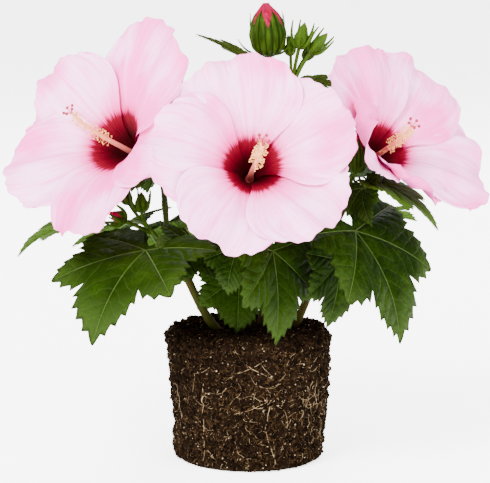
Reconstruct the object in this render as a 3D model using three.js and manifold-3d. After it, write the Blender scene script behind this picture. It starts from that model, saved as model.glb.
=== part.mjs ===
// A young hardy hibiscus, knocked out of its pot: a root ball, leafy stems, buds and three large open blooms.
// Lengths are in millimetres, +Z is up, the front of the plant faces -Y, and the origin is the centre of the
// root ball's flat underside. A heading is an angle in degrees: 0 is the front, 90 the right, 180 the back.
import * as THREE from "three";
import { mergeVertices } from "three/addons/utils/BufferGeometryUtils.js";
import Module from "manifold-3d";

const wasm = await Module();
wasm.setup();

// ---- driving dimensions --------------------------------------------------------------------------------

const CLEARANCE = 0.3; // gap between two pieces that touch on the plant

const ROOT_BALL = {
  height: 111,
  topRadius: 69,
  footRadius: 61.5,
  shoulder: 9, // radius of the crumbled edge round the top
  footRound: 2,
  lump: 1.6, // how far the soil stands in or out
  sides: 30,
};

const STEM_SIDES = 7;
const STEM_STEPS = 7;
const TWIG_SIDES = 5;
const TWIG_STEPS = 4;
const TWIG_RADIUS = 2.1;
const PETIOLE_SIDES = 3;
const PETIOLE_STEPS = 3;
const PETIOLE_RADIUS = 1.25;

// A maple-like blade. Places on its edge are an angle from the midrib and a share of the blade's length.
const BLADE = {
  tips: [
    [0, 1],
    [52, 0.86],
    [98, 0.74],
  ],
  sinuses: [
    [31, 0.66],
    [76, 0.66],
    [180, 0.05],
  ],
  footBulge: 0.26, // swell of the round lobe beside the stalk, as a share of its length
  thickness: 1.1,
  sideDroop: 22, // degrees that each half bends down over the same length
  fold: 0.16, // rise of each half out from the midrib
};

// The open corolla is a deep throat that opens into a shallow cone and rolls back a little at its rim.
const COROLLA = {
  throatRadius: 4.2,
  depth: 34,
  flare: 16, // radius over which the throat opens
  lift: 30, // rise of the cone out to the rim
  recurve: 6, // how far the rim rolls back
  overlap: 2.1, // drop of a petal from its free edge to its tucked edge, per radian round the bloom
  overlapFrom: 5,
  overlapFull: 15,
  clawWidth: 30, // half the angle that a petal fills at the throat, in degrees
  petalWidth: 57, // the same where the petal is broadest
  cornerDrop: 0.13, // share of the radius that the petal's corners fall short of its middle
  thickness: 1.2,
  across: 6,
  along: 6,
};

const CALYX = {
  radius: 8.6,
  depth: 15,
  gap: 3.7, // from the petals' middle surface to the sepals'
  tipReach: 27, // how far out a sepal's tip reaches
  notchReach: 13, // the same for the notch between two sepals
  thickness: 1.3,
  bracts: 8,
  bractLength: 22,
  bractRadius: 1.1,
};

const COLUMN = {
  baseRadius: 2.8,
  neckRadius: 1.8,
  antherFrom: 0.42, // share of the column where the anthers begin
  antherReach: 5.4, // radius over the anthers
  sides: 8,
  steps: 14,
  stigmas: 5,
  stigmaReach: 7.5,
  stigmaRadius: 1.4,
};

const BUD = {
  sides: 10,
  smallSides: 6,
  bractWidth: 9, // a bud this wide or wider has bracts round it
  ridge: 0.9, // radius between two sepals, as a share of the radius along their middles
  bracts: 8,
};

// ---- places and curves ---------------------------------------------------------------------------------

const vec = (x, y, z) => new THREE.Vector3(x, y, z);
const degrees = THREE.MathUtils.degToRad;
const step = THREE.MathUtils.smoothstep;

function direction(heading, rise) {
  const flat = Math.cos(degrees(rise));
  return vec(Math.sin(degrees(heading)) * flat, -Math.cos(degrees(heading)) * flat, Math.sin(degrees(rise)));
}

// A smooth run between two places that leaves along one direction and arrives along another.
function run(from, to, leave, arrive) {
  const reach = from.distanceTo(to) / 3;
  return new THREE.CubicBezierCurve3(
    from,
    from.clone().addScaledVector(leave, reach),
    to.clone().addScaledVector(arrive, -reach),
    to,
  );
}

// Park and Miller's generator, so that every draw can be made again elsewhere.
function seeded(seed) {
  const modulus = 2147483647;
  let state = (seed * 7919) % modulus;
  return () => {
    state = (state * 16807) % modulus;
    return state / modulus;
  };
}

// ---- solids --------------------------------------------------------------------------------------------

function solidOf(geometry) {
  const bare = new THREE.BufferGeometry();
  bare.setAttribute("position", geometry.getAttribute("position"));
  bare.setIndex(geometry.index);
  const merged = mergeVertices(bare, 1e-4);
  const corners = [];
  for (let i = 0; i < merged.index.count; i += 3) {
    const [a, b, c] = [0, 1, 2].map((k) => merged.index.getX(i + k));
    if (a !== b && b !== c && a !== c) corners.push(a, b, c);
  }
  const vertProperties = new Float32Array(merged.getAttribute("position").array);
  return new wasm.Manifold(new wasm.Mesh({ numProp: 3, vertProperties, triVerts: new Uint32Array(corners) }));
}

function geometryOf(solid) {
  const made = solid.getMesh();
  const geometry = new THREE.BufferGeometry();
  geometry.setAttribute("position", new THREE.BufferAttribute(new Float32Array(made.vertProperties), 3));
  geometry.setIndex(new THREE.BufferAttribute(new Uint32Array(made.triVerts), 1));
  geometry.computeVertexNormals();
  return geometry;
}

const fuse = (solids) => solids.reduce((whole, piece) => whole.add(piece));

// Moves each vertex of a geometry to the place that the rule gives for it.
function reshape(geometry, rule) {
  const place = geometry.getAttribute("position");
  for (let i = 0; i < place.count; i++) {
    const moved = rule(place.getX(i), place.getY(i), place.getZ(i));
    place.setXYZ(i, moved.x, moved.y, moved.z);
  }
  return geometry;
}

// A round limb: a unit cylinder bent along a curve, with the radius that is wanted at each share of its
// length.
function limb(curve, radiusAt, sides, steps) {
  const frames = curve.computeFrenetFrames(steps, false);
  return reshape(new THREE.CylinderGeometry(1, 1, 1, sides, steps), (x, y, z) => {
    const ring = Math.round((y + 0.5) * steps);
    const radius = radiusAt(ring / steps);
    return curve
      .getPointAt(ring / steps)
      .addScaledVector(frames.normals[ring], x * radius)
      .addScaledVector(frames.binormals[ring], -z * radius);
  });
}

const taper = (from, to) => (share) => from + (to - from) * share;

// ---- the plant -----------------------------------------------------------------------------------------

const plant = new THREE.Group();

const MATERIALS = {
  soil: new THREE.MeshStandardMaterial({ color: 0x2e2118, roughness: 0.95, metalness: 0 }),
  stem: new THREE.MeshStandardMaterial({ color: 0x5c6a35, roughness: 0.6, metalness: 0 }),
  leaf: new THREE.MeshStandardMaterial({ color: 0x2f5222, roughness: 0.5, metalness: 0 }),
  petal: new THREE.MeshStandardMaterial({ color: 0xf6d2e2, roughness: 0.7, metalness: 0 }),
  column: new THREE.MeshStandardMaterial({ color: 0xf0c9a0, roughness: 0.7, metalness: 0 }),
  bud: new THREE.MeshStandardMaterial({ color: 0x5f7f2c, roughness: 0.55, metalness: 0 }),
};

function addNode(name, solid, material) {
  const mesh = new THREE.Mesh(geometryOf(solid), MATERIALS[material]);
  mesh.name = name;
  plant.add(mesh);
}

// ---- root ball -----------------------------------------------------------------------------------------

function rootBall(sockets) {
  const { height, topRadius, footRadius, shoulder, footRound, lump, sides } = ROOT_BALL;
  const wallRadius = (z) => footRadius + ((topRadius - footRadius) * z) / height;
  const profile = [new THREE.Vector2(0, 0), new THREE.Vector2(footRadius - footRound, 0)];
  const wallSteps = 4;
  for (let i = 0; i <= wallSteps; i++) {
    const z = footRound + ((height - shoulder - footRound) * i) / wallSteps;
    profile.push(new THREE.Vector2(wallRadius(z), z));
  }
  const shoulderSteps = 2;
  for (let i = 1; i <= shoulderSteps; i++) {
    const turn = (Math.PI / 2) * (i / shoulderSteps);
    const inset = shoulder * (1 - Math.cos(turn));
    const z = height - shoulder + shoulder * Math.sin(turn);
    profile.push(new THREE.Vector2(wallRadius(height) - inset, z));
  }
  profile.push(new THREE.Vector2(topRadius * 0.45, height), new THREE.Vector2(0, height));
  const ball = reshape(new THREE.LatheGeometry(profile, sides), (x, y, z) => {
    const around = Math.atan2(x, z);
    const out = Math.hypot(x, z);
    const lumps = 0.5 * Math.sin(3 * around + y / 17) + 0.3 * Math.sin(7 * around - y / 9);
    const swell = y < footRound ? 0 : lump * lumps;
    const scale = out > 1 ? 1 + swell / out : 1;
    return vec(x * scale, -z * scale, y);
  });
  return sockets.reduce((soil, socket) => soil.subtract(socket), solidOf(ball));
}

// ---- stems ---------------------------------------------------------------------------------------------

// Each stem rises out of the soil at its foot and ends at its tip, where its foliage or its bloom takes over.
const SUNK = 11; // how deep a stem's foot sits in the soil
const STEMS = {
  left_stem: {
    foot: [-17, -5],
    tip: [-64, -16, 183],
    leave: [-70, 40],
    arrive: [-64, 62],
    radii: [4.1, 3.0],
  },
  front_stem: {
    foot: [-6, 3],
    tip: [-9, -14, 205],
    leave: [-80, 62],
    arrive: [30, 72],
    radii: [3.6, 2.7],
  },
  right_stem: {
    foot: [33, 6],
    tip: [82, 4, 217],
    leave: [75, 60],
    arrive: [80, 62],
    radii: [3.7, 2.8],
  },
  middle_stem: {
    foot: [9, 13],
    tip: [27, 16, 288],
    leave: [120, 80],
    arrive: [70, 82],
    radii: [3.8, 2.6],
  },
  back_left_stem: {
    foot: [-18, 24],
    tip: [-52, 62, 236],
    leave: [-140, 60],
    arrive: [-120, 80],
    radii: [3.4, 2.2],
  },
  back_right_stem: {
    foot: [26, 28],
    tip: [50, 66, 230],
    leave: [140, 60],
    arrive: [170, 80],
    radii: [3.4, 2.2],
  },
};

function stemCurve({ foot, tip, leave, arrive }) {
  return run(vec(...foot, ROOT_BALL.height - SUNK), vec(...tip), direction(...leave), direction(...arrive));
}

function stemSolid(stem, extra = 0) {
  const [low, high] = stem.radii;
  return solidOf(limb(stemCurve(stem), taper(low + extra, high + extra), STEM_SIDES, STEM_STEPS));
}

// ---- leaves --------------------------------------------------------------------------------------------

// One half of the blade's edge, from the tip round to the notch at the stalk, as shares of its length.
function halfEdge() {
  const foot = new THREE.Vector2();
  const corner = ([angle, share]) => new THREE.Vector2(share, 0).rotateAround(foot, degrees(angle));
  const corners = BLADE.tips.flatMap((tip, i) => [corner(tip), corner(BLADE.sinuses[i])]);
  const [lobe, notch] = corners.slice(-2);
  const chord = notch.clone().sub(lobe);
  const outwards = new THREE.Vector2(chord.y, -chord.x).multiplyScalar(BLADE.footBulge);
  corners.splice(-1, 0, lobe.clone().addScaledVector(chord, 0.5).add(outwards));
  return corners;
}

// The whole edge: down one side from the tip to the notch, and back up the other.
const HALF_EDGE = halfEdge();
const mirrored = HALF_EDGE.slice(1, -1).map((p) => new THREE.Vector2(p.x, -p.y));
const BLADE_EDGE = [...HALF_EDGE, ...mirrored.reverse()];

// Bends a distance into a bow of that length: how far along it reaches and how far it falls.
function bow(distance, bend) {
  const turn = distance * bend;
  return Math.abs(turn) < 1e-6 ? [distance, 0] : [Math.sin(turn) / bend, (1 - Math.cos(turn)) / bend];
}

// The blade's own directions: along its midrib, out to its right and up off its upper face.
function bladeFrame({ heading, pitch, roll }) {
  const along = direction(heading, pitch);
  const level = vec(Math.cos(degrees(heading)), Math.sin(degrees(heading)), 0);
  const face = along.clone().cross(level);
  const [cos, sin] = [Math.cos(degrees(roll)), Math.sin(degrees(roll))];
  const out = level.clone().multiplyScalar(cos).addScaledVector(face, -sin);
  const up = face.clone().multiplyScalar(cos).addScaledVector(level, sin);
  return { along, out, up };
}

function blade(leaf, extra) {
  const { along, out, up } = bladeFrame(leaf);
  const size = leaf.length;
  const half = BLADE.thickness / 2 + extra;
  const ring = 0.52; // share of the way to the edge of the inner ring of corners
  const profile = [[0, -half], [ring, -half], [1, -half], [1, half], [ring, half], [0, half]];
  const count = BLADE_EDGE.length;
  const disc = new THREE.LatheGeometry(profile.map((p) => new THREE.Vector2(...p)), count);
  return reshape(disc, (x, y, z) => {
    const share = Math.hypot(x, z);
    const edge = BLADE_EDGE[(Math.round((Math.atan2(x, z) / (2 * Math.PI)) * count) + count) % count];
    const side = edge.y * leaf.width * share * size;
    const [reach, fall] = bow(edge.x * share * size, degrees(leaf.droop) / size);
    const [spread, sag] = bow(side, degrees(BLADE.sideDroop) / size);
    const rise = BLADE.fold * Math.abs(side) - fall - sag + y;
    const place = leaf.joint.clone().addScaledVector(along, reach);
    return place.addScaledVector(out, spread).addScaledVector(up, rise);
  });
}

// The stalk arches up off the twig and comes into the blade along the midrib.
function stalkCurve(leaf, twig) {
  const { along, up } = bladeFrame(leaf);
  const root = twig.getPoint(leaf.at);
  const end = leaf.joint.clone().addScaledVector(along, 3).addScaledVector(up, -0.3);
  const leave = end.clone().sub(root).normalize().add(vec(0, 0, 0.5)).normalize();
  return run(root, end, leave, along);
}

function leafSolids(leaf, twig, extra = 0) {
  const radii = taper(PETIOLE_RADIUS * 1.15 + extra, PETIOLE_RADIUS * 0.85 + extra);
  const stalk = limb(stalkCurve(leaf, twig), radii, PETIOLE_SIDES, PETIOLE_STEPS);
  return [solidOf(stalk), solidOf(blade(leaf, extra))];
}

// ---- foliage masses ------------------------------------------------------------------------------------

// A mass is one twig with its leaves. The twig starts beside a stem, at a share of the stem's length and on
// the side that its heading gives. Each posed leaf says at what share of the twig its stalk starts, the place
// where stalk and blade join, the midrib's heading and pitch, the roll about it, and the blade's length, droop
// and width. The others grow by a seeded rule inside the mass's own space, [low, high] along X, Y and Z.
function leaf(at, joint, heading, pitch, roll, length, droop = 40, width = 1) {
  return { at, joint: vec(...joint), heading, pitch, roll, length, droop, width };
}

const MASSES = {
  left_front_foliage: {
    stem: "left_stem",
    at: 0.7,
    heading: -20,
    reach: 18,
    rise: 40,
    leaves: [
      leaf(0.8, [-86, -45, 186], -39, -22, -2, 100, 45),
      leaf(1, [-49, -37, 189], -12, -26, 34, 42, 38),
    ],
  },
  left_outer_foliage: {
    stem: "left_stem",
    at: 0.96,
    heading: -105,
    reach: 26,
    rise: 42,
    leaves: [
      leaf(1, [-147, 26, 196], -86, -4, -18, 62, 50, 0.75),
      leaf(0.7, [-104, 40, 196], -140, -20, 8, 64, 44),
    ],
  },
  front_foliage: {
    stem: "front_stem",
    at: 0.66,
    heading: 10,
    reach: 22,
    rise: 45,
    leaves: [
      leaf(0.8, [19, -62, 189], 41, -72, 14, 80, 27),
      leaf(1, [-9, -66, 193], -70, -66, 34, 44, 38),
      leaf(0.35, [-8, -30, 162], -9, -76, 10, 50, 22),
    ],
  },
  right_front_foliage: {
    stem: "right_stem",
    at: 0.62,
    heading: 20,
    reach: 22,
    rise: 40,
    leaves: [
      leaf(1, [88, -42, 202], 60, -42, -3, 106, 50),
      leaf(0.5, [76, -22, 174], 2, -80, 45, 60, 30),
    ],
  },
  right_outer_foliage: {
    stem: "right_stem",
    at: 0.985,
    heading: 95,
    reach: 17,
    rise: 58,
    leaves: [
      leaf(1, [110, -24, 238], 77, -18, 2, 64),
      leaf(0.6, [94, -40, 238], -5, -58, -50, 34),
    ],
  },
  top_foliage: {
    stem: "middle_stem",
    at: 0.93,
    heading: -120,
    reach: 14,
    rise: 62,
    leaves: [leaf(1, [0, 14, 338], -100, 34, -20, 52, 20, 0.5)],
    more: { count: 3, seed: 9, length: [40, 56], spread: 75 },
    space: [[-60, 20], [0, 110], [240, 360]],
  },
  top_right_foliage: {
    stem: "middle_stem",
    at: 0.9,
    heading: 95,
    reach: 12,
    rise: 52,
    leaves: [leaf(1, [50, 24, 317], 92, 10, 30, 32, 38, 0.8)],
  },
  middle_foliage: {
    stem: "middle_stem",
    at: 0.5,
    heading: 170,
    reach: 30,
    rise: 50,
    leaves: [],
    more: { count: 5, seed: 3, length: [52, 72], spread: 80 },
    space: [[-60, 70], [10, 150], [150, 270]],
  },
  back_left_foliage: {
    stem: "back_left_stem",
    at: 0.5,
    heading: -140,
    reach: 24,
    rise: 30,
    leaves: [],
    more: { count: 6, seed: 4, length: [56, 78], spread: 100 },
    space: [[-180, 10], [20, 160], [110, 215]],
  },
  back_right_foliage: {
    stem: "back_right_stem",
    at: 0.5,
    heading: 140,
    reach: 24,
    rise: 30,
    leaves: [leaf(0.3, [106, 58, 194], 118, 14, 24, 46)],
    more: { count: 6, seed: 8, length: [56, 78], spread: 100 },
    space: [[20, 180], [20, 160], [110, 215]],
  },
  upper_left_foliage: {
    stem: "back_left_stem",
    at: 0.985,
    heading: -150,
    reach: 22,
    rise: 66,
    leaves: [],
    more: { count: 6, seed: 11, length: [44, 62], spread: 130 },
    space: [[-150, 20], [20, 150], [205, 315]],
  },
  upper_right_foliage: {
    stem: "back_right_stem",
    at: 0.985,
    heading: 170,
    reach: 20,
    rise: 66,
    leaves: [],
    more: { count: 6, seed: 5, length: [40, 58], spread: 120 },
    space: [[10, 84], [20, 150], [205, 300]],
  },
};

// A twig or a bud stalk starts just clear of its stem and swings out to its own heading and rise.
function twigCurve({ stem, at, heading, rise, reach }) {
  const curve = stemCurve(STEMS[stem]);
  const radius = taper(...STEMS[stem].radii)(at);
  const away = direction(heading, 0);
  const tangent = curve.getTangent(at);
  const side = away.clone().addScaledVector(tangent, -away.dot(tangent)).normalize();
  const root = curve.getPoint(at).addScaledVector(side, radius + CLEARANCE + 0.2);
  const aim = direction(heading, rise);
  return run(root, root.clone().addScaledVector(aim, reach), side, aim);
}

// The leaves that aren't posed step up the twig and turn by the golden angle, kept to the mass's own side.
const GOLDEN_ANGLE = 137.5;
const RULE = {
  swing: [-24, 24], // turn of one leaf off its place in the spiral
  stalk: [22, 42],
  stalkRise: [0, 48],
  pitch: [-52, -8],
  roll: [-20, 20],
  droop: [30, 48],
  tries: 12,
};

function ruledLeaf({ heading, more }, twig, index, random) {
  const draw = ([low, high]) => low + (high - low) * random();
  const at = 0.3 + (0.7 * (index + 1)) / more.count;
  const turn = (((GOLDEN_ANGLE * index + 180) % 360) - 180) * (more.spread / 180);
  const own = heading + turn + draw(RULE.swing);
  const stalk = direction(own, draw(RULE.stalkRise)).multiplyScalar(draw(RULE.stalk));
  const joint = twig.getPoint(at).add(stalk);
  const pose = [RULE.pitch, RULE.roll, more.length, RULE.droop].map(draw);
  return leaf(at, joint.toArray(), own, ...pose);
}

// A leaf by the rule is drawn again where it would leave its mass's space or come closer than this to another
// piece, and it is left out after the last try.
const LEAF_CLEARANCE = 0.8;

function massSolid(mass, others) {
  const twig = twigCurve(mass);
  const stem = solidOf(limb(twig, taper(TWIG_RADIUS, TWIG_RADIUS * 0.7), TWIG_SIDES, TWIG_STEPS));
  const pieces = [stem, ...mass.leaves.flatMap((one) => leafSolids(one, twig))];

  const crosses = (piece, list) => list.some((other) => !piece.intersect(other).isEmpty());
  const hasRoom = (one) => {
    const [stalk, face] = leafSolids(one, twig, LEAF_CLEARANCE);
    const { min, max } = face.boundingBox();
    const inside = mass.space.every(([low, high], axis) => min[axis] > low && max[axis] < high);
    return inside && !crosses(stalk, others) && !crosses(face, others) && !crosses(face, pieces.slice(1));
  };
  const random = seeded(mass.more?.seed);
  for (let i = 0; i < (mass.more?.count ?? 0); i++) {
    let one = ruledLeaf(mass, twig, i, random);
    for (let tries = 1; tries < RULE.tries && !hasRoom(one); tries++) one = ruledLeaf(mass, twig, i, random);
    if (hasRoom(one)) pieces.push(...leafSolids(one, twig));
  }
  return fuse(pieces);
}

// ---- blooms --------------------------------------------------------------------------------------------

// eye is the middle of the dark ring round the throat. Each petal has the angle of its middle round the bloom
// and its reach, as a share of the radius. The rim gives the share of a petal's width that is left at its outer
// edge, and how late it narrows. The waves bend the corolla, each as [turns, size, start]. The column's tip is
// given from the corolla's foot as a heading, a rise and a length.
const BLOOMS = {
  left_bloom: {
    eye: [-113, -5, 272.5],
    heading: -47,
    rise: 30,
    radius: 95,
    petals: [[67, 1.12], [154, 1.05], [217, 1.03], [288, 1.02], [2, 1.06]],
    rim: [0.45, 2.5],
    waves: [[2, 2.5, 40], [5, 2.4, 0]],
    column: [-61, 33, 78],
    stem: "left_stem",
  },
  front_bloom: {
    eye: [3, -82, 263.8],
    heading: 5,
    rise: 28,
    radius: 84.5,
    petals: [[100, 1.03], [172, 1.02], [244, 1], [316, 1], [28, 1.02]],
    rim: [0.62, 5],
    waves: [[2, 1.5, 0], [5, 2, 30]],
    column: [9, 31, 76],
    stem: "front_stem",
  },
  right_bloom: {
    eye: [118, 8, 267.7],
    heading: 46,
    rise: 36,
    radius: 80,
    petals: [[101, 1.06], [184, 0.9], [256, 0.8], [321, 1.18], [36, 1.16]],
    rim: [0.55, 3],
    waves: [[1, 9, 205], [2, 3, 60], [5, 2.2, 60]],
    column: [38, 33, 73],
    stem: "right_stem",
  },
};
const EYE_RISE = 34.6; // from the corolla's foot to the middle of its eye

function bloomFrame({ eye, heading, rise }) {
  const axis = direction(heading, rise);
  const right = vec(Math.cos(degrees(heading)), Math.sin(degrees(heading)), 0);
  const up = axis.clone().cross(right);
  const foot = vec(...eye).addScaledVector(axis, -EYE_RISE);
  // A place in the bloom: its angle round the axis, its radius and its height up the axis.
  const place = (around, radius, height) =>
    foot
      .clone()
      .addScaledVector(right, Math.cos(around) * radius)
      .addScaledVector(up, Math.sin(around) * radius)
      .addScaledVector(axis, height);
  return { axis, right, up, foot, place };
}

// The corolla's middle surface, with an offset from it along its normal.
function corollaPlace(bloom, frame, around, radius, offset) {
  const { throatRadius, depth, flare, lift, recurve } = COROLLA;
  const share = radius / bloom.radius;
  const throat = Math.exp(-(radius - throatRadius) / flare);
  const wave = bloom.waves.reduce((sum, [turns, size, start]) => {
    return sum + size * Math.cos(turns * around - degrees(start));
  }, 0);
  const height = depth * (1 - throat) + lift * share - recurve * share ** 3 + wave * share ** 2;
  const slope = (depth / flare) * throat + (lift - 3 * recurve * share ** 2) / bloom.radius;
  const norm = Math.hypot(slope, 1);
  return frame.place(around, radius - (offset * slope) / norm, height + offset / norm);
}

// A petal broadens from its claw, and its clockwise edge lies over the next petal's tucked edge.
function petal(bloom, frame, [middle, longest]) {
  const c = COROLLA;
  const [rimWidth, squareness] = bloom.rim;
  const box = new THREE.BoxGeometry(2, 1, 1, c.across, c.along, 1);
  return reshape(box, (x, y, z) => {
    const across = -x;
    const along = (y + 0.5) ** 1.35;
    const reach = bloom.radius * longest * (1 - c.cornerDrop * Math.abs(across) ** 2.4);
    const radius = c.throatRadius + (reach - c.throatRadius) * along;
    const broad = step(radius, c.throatRadius, bloom.radius * 0.55);
    const narrowing = 1 - (1 - rimWidth) * along ** squareness;
    const turn = across * degrees(c.clawWidth + (c.petalWidth - c.clawWidth) * broad) * narrowing;
    const overlap = c.overlap * step(radius, c.overlapFrom, c.overlapFull);
    return corollaPlace(bloom, frame, degrees(middle) + turn, radius, -turn * overlap + z * c.thickness);
  });
}

// The cup under the corolla: rows of places from the stalk, out over the sepals and back to the throat.
function calyxCup(bloom, frame) {
  const { radius, depth, gap, tipReach, notchReach, thickness } = CALYX;
  const under = (share) => (around, reach) =>
    corollaPlace(bloom, frame, around, 9 + (reach - 9) * share, -gap - thickness / 2);
  const over = (share) => (around, reach) =>
    corollaPlace(bloom, frame, around, 9 + (reach - 9) * share, -gap + thickness / 2);
  const ring = (out, height) => (around) => frame.place(around, out, height);
  const rows = [
    ring(0, -depth),
    ring(2.4, -depth),
    ring(6, -depth * 0.7),
    ring(radius, -depth * 0.3),
    under(0),
    under(0.5),
    under(1),
    over(1),
    over(0.5),
    over(0),
    ring(4.5, -1.6),
    ring(0, -1.6),
  ];
  const sides = 2 * bloom.petals.length;
  const profile = rows.map((_, i) => new THREE.Vector2(i === 0 || i === rows.length - 1 ? 0 : 1, i));
  return reshape(new THREE.LatheGeometry(profile, sides), (x, y, z) => {
    const turn = Math.round((Math.atan2(x, z) / (2 * Math.PI)) * sides);
    const around = (turn * 2 * Math.PI) / sides + degrees(bloom.petals[0][0]);
    return rows[y](around, turn % 2 === 0 ? notchReach : tipReach);
  });
}

function calyx(bloom, frame) {
  const { radius, depth, bracts, bractLength, bractRadius } = CALYX;
  const pieces = [solidOf(calyxCup(bloom, frame))];
  for (let i = 0; i < bracts; i++) {
    const around = (i * 2 * Math.PI) / bracts;
    const root = frame.place(around, radius - 3, -depth * 0.62);
    const tip = frame.place(around + 0.25, radius + bractLength * 0.75, -depth * 0.62 + bractLength * 0.5);
    const leave = frame.place(around, 1, 0.1).sub(frame.foot).normalize();
    const arrive = frame.place(around, 0.5, 1).sub(frame.foot).normalize();
    pieces.push(solidOf(limb(run(root, tip, leave, arrive), taper(bractRadius, bractRadius * 0.5), 3, 1)));
  }
  pieces.push(solidOf(limb(pedicelCurve(bloom, frame), taper(2.5, 2.3), TWIG_SIDES, TWIG_STEPS)));
  return fuse(pieces);
}

// The flower stalk starts just clear of its stem's tip and ends inside the calyx.
function pedicelCurve(bloom, frame) {
  const stem = stemCurve(STEMS[bloom.stem]);
  const tangent = stem.getTangent(1);
  const root = stem.getPoint(1).addScaledVector(tangent, CLEARANCE + 0.1);
  return run(root, frame.place(0, 0, -CALYX.depth + 3), tangent, frame.axis);
}

function columnCurve(bloom, frame) {
  const [heading, rise, length] = bloom.column;
  const tip = frame.foot.clone().addScaledVector(direction(heading, rise), length);
  return run(frame.place(0, 0, -0.4), tip, frame.axis, direction(heading, rise + 12));
}

// The staminal column is set with anthers over its outer half and ends in spreading stigmas.
function column(bloom, frame) {
  const c = COLUMN;
  const curve = columnCurve(bloom, frame);
  const bare = taper(c.baseRadius, c.neckRadius);
  const frames = curve.computeFrenetFrames(c.steps, false);
  const shaft = reshape(new THREE.CylinderGeometry(1, 1, 1, c.sides, c.steps), (x, y, z) => {
    const ring = Math.round((y + 0.5) * c.steps);
    const share = ring / c.steps;
    const side = Math.round((Math.atan2(x, z) / (2 * Math.PI)) * c.sides);
    const brush = share > c.antherFrom && share < 0.97 && (ring + side) % 2 === 0;
    const radius = brush ? c.antherReach : bare(share);
    return curve
      .getPointAt(share)
      .addScaledVector(frames.normals[ring], x * radius)
      .addScaledVector(frames.binormals[ring], -z * radius);
  });
  const pieces = [solidOf(shaft)];
  const [normal, binormal, tangent] = ["normals", "binormals", "tangents"].map((name) => frames[name].at(-1));
  const root = curve.getPoint(0.985);
  for (let i = 0; i < c.stigmas; i++) {
    const turn = ((i + 0.5) * 2 * Math.PI) / c.stigmas;
    const out = normal.clone().multiplyScalar(Math.cos(turn)).addScaledVector(binormal, Math.sin(turn));
    const aim = out.addScaledVector(tangent, 1.1).normalize();
    const tip = root.clone().addScaledVector(aim, c.stigmaReach);
    const knob = new THREE.OctahedronGeometry(c.stigmaRadius).translate(tip.x, tip.y, tip.z);
    pieces.push(solidOf(limb(run(root, tip, aim, aim), taper(0.6, 0.5), 3, 1)), solidOf(knob));
  }
  return fuse(pieces);
}

// ---- buds ----------------------------------------------------------------------------------------------

// A spray of buds starts beside its stem like a twig, or on the stem's tip. Each bud has a base, a tip and a
// width, and the large ones have bracts that curve up round them.
const SPRAYS = {
  top_bud: {
    stem: "middle_stem",
    onTip: true,
    buds: [{ base: [17, 7, 343], tip: [14, 5, 388], width: 31 }],
  },
  bud_cluster: {
    stem: "middle_stem",
    at: 0.95,
    heading: 60,
    reach: 24,
    rise: 78,
    buds: [
      { base: [42, 8, 350], tip: [47, 5, 372], width: 12 },
      { base: [52, 9, 346], tip: [66, 5, 363], width: 11 },
      { base: [35, 12, 344], tip: [34, 16, 360], width: 7 },
      { base: [47, 19, 340], tip: [56, 25, 350], width: 6 },
    ],
  },
  left_buds: {
    stem: "left_stem",
    at: 0.93,
    heading: -60,
    reach: 18,
    rise: 52,
    buds: [
      { base: [-90, -31, 217], tip: [-90, -33, 234], width: 11 },
      { base: [-104, -24, 208], tip: [-117, -22, 215], width: 12 },
      { base: [-101, -18, 222], tip: [-107, -14, 234], width: 7 },
    ],
  },
  right_bud: {
    stem: "right_stem",
    at: 0.9,
    heading: -45,
    reach: 12,
    rise: 66,
    buds: [{ base: [88, -18, 247], tip: [88, -20, 284], width: 18 }],
  },
};

function bud({ base, tip, width }) {
  const from = vec(...base);
  const aim = vec(...tip).sub(from);
  const length = aim.length();
  aim.normalize();
  const side = vec(1, 0, 0).addScaledVector(aim, -aim.x).normalize();
  const front = aim.clone().cross(side);
  const place = (around, radius, height) =>
    from
      .clone()
      .addScaledVector(side, Math.cos(around) * radius)
      .addScaledVector(front, Math.sin(around) * radius)
      .addScaledVector(aim, height);
  const large = width > 15;
  const outline = large
    ? [[0, 0], [0.22, 0], [0.82, 0.16], [1, 0.42], [0.78, 0.68], [0.42, 0.88], [0, 1]]
    : [[0, 0], [0.8, 0.14], [1, 0.42], [0.5, 0.8], [0, 1]];
  const sides = large ? BUD.sides : BUD.smallSides;
  const profile = outline.map(([out, up]) => new THREE.Vector2((out * width) / 2, up * length));
  const body = reshape(new THREE.LatheGeometry(profile, sides), (x, y, z) => {
    const turn = Math.round((Math.atan2(x, z) / (2 * Math.PI)) * sides);
    const radius = Math.hypot(x, z) * (turn % 2 === 0 ? 1 : BUD.ridge);
    return place((turn * 2 * Math.PI) / sides, radius, y);
  });
  const pieces = [solidOf(body)];
  for (let i = 0; width > BUD.bractWidth && i < BUD.bracts; i++) {
    const around = ((i + 0.5) * 2 * Math.PI) / BUD.bracts;
    const root = place(around, width * 0.1, length * 0.05);
    const end = place(around, width * 0.68, length * 0.5);
    const leave = place(around, 1, 0).sub(from).normalize();
    const thickness = 0.35 + width * 0.02;
    pieces.push(solidOf(limb(run(root, end, leave, aim), taper(thickness, thickness * 0.6), 3, 1)));
  }
  return pieces;
}

function spraySolid(spray) {
  const stem = stemCurve(STEMS[spray.stem]);
  const tangent = stem.getTangent(1);
  const onTip = () => {
    const root = stem.getPoint(1).addScaledVector(tangent, CLEARANCE + 0.1);
    return run(root, root.clone().addScaledVector(tangent, 12), tangent, tangent);
  };
  const twig = spray.onTip ? onTip() : twigCurve(spray);
  const pieces = [solidOf(limb(twig, taper(2.2, 1.9), TWIG_SIDES, TWIG_STEPS))];
  const root = twig.getPoint(0.94);
  for (const one of spray.buds) {
    const base = vec(...one.base);
    const aim = vec(...one.tip).sub(base).normalize();
    const stalk = run(root, base.clone().addScaledVector(aim, 1.2), twig.getTangent(1), aim);
    const radius = 0.9 + one.width / 28;
    pieces.push(solidOf(limb(stalk, taper(radius, radius), 4, 3)), ...bud(one));
  }
  return fuse(pieces);
}

// ---- assembly ------------------------------------------------------------------------------------------

const built = [];

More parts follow.
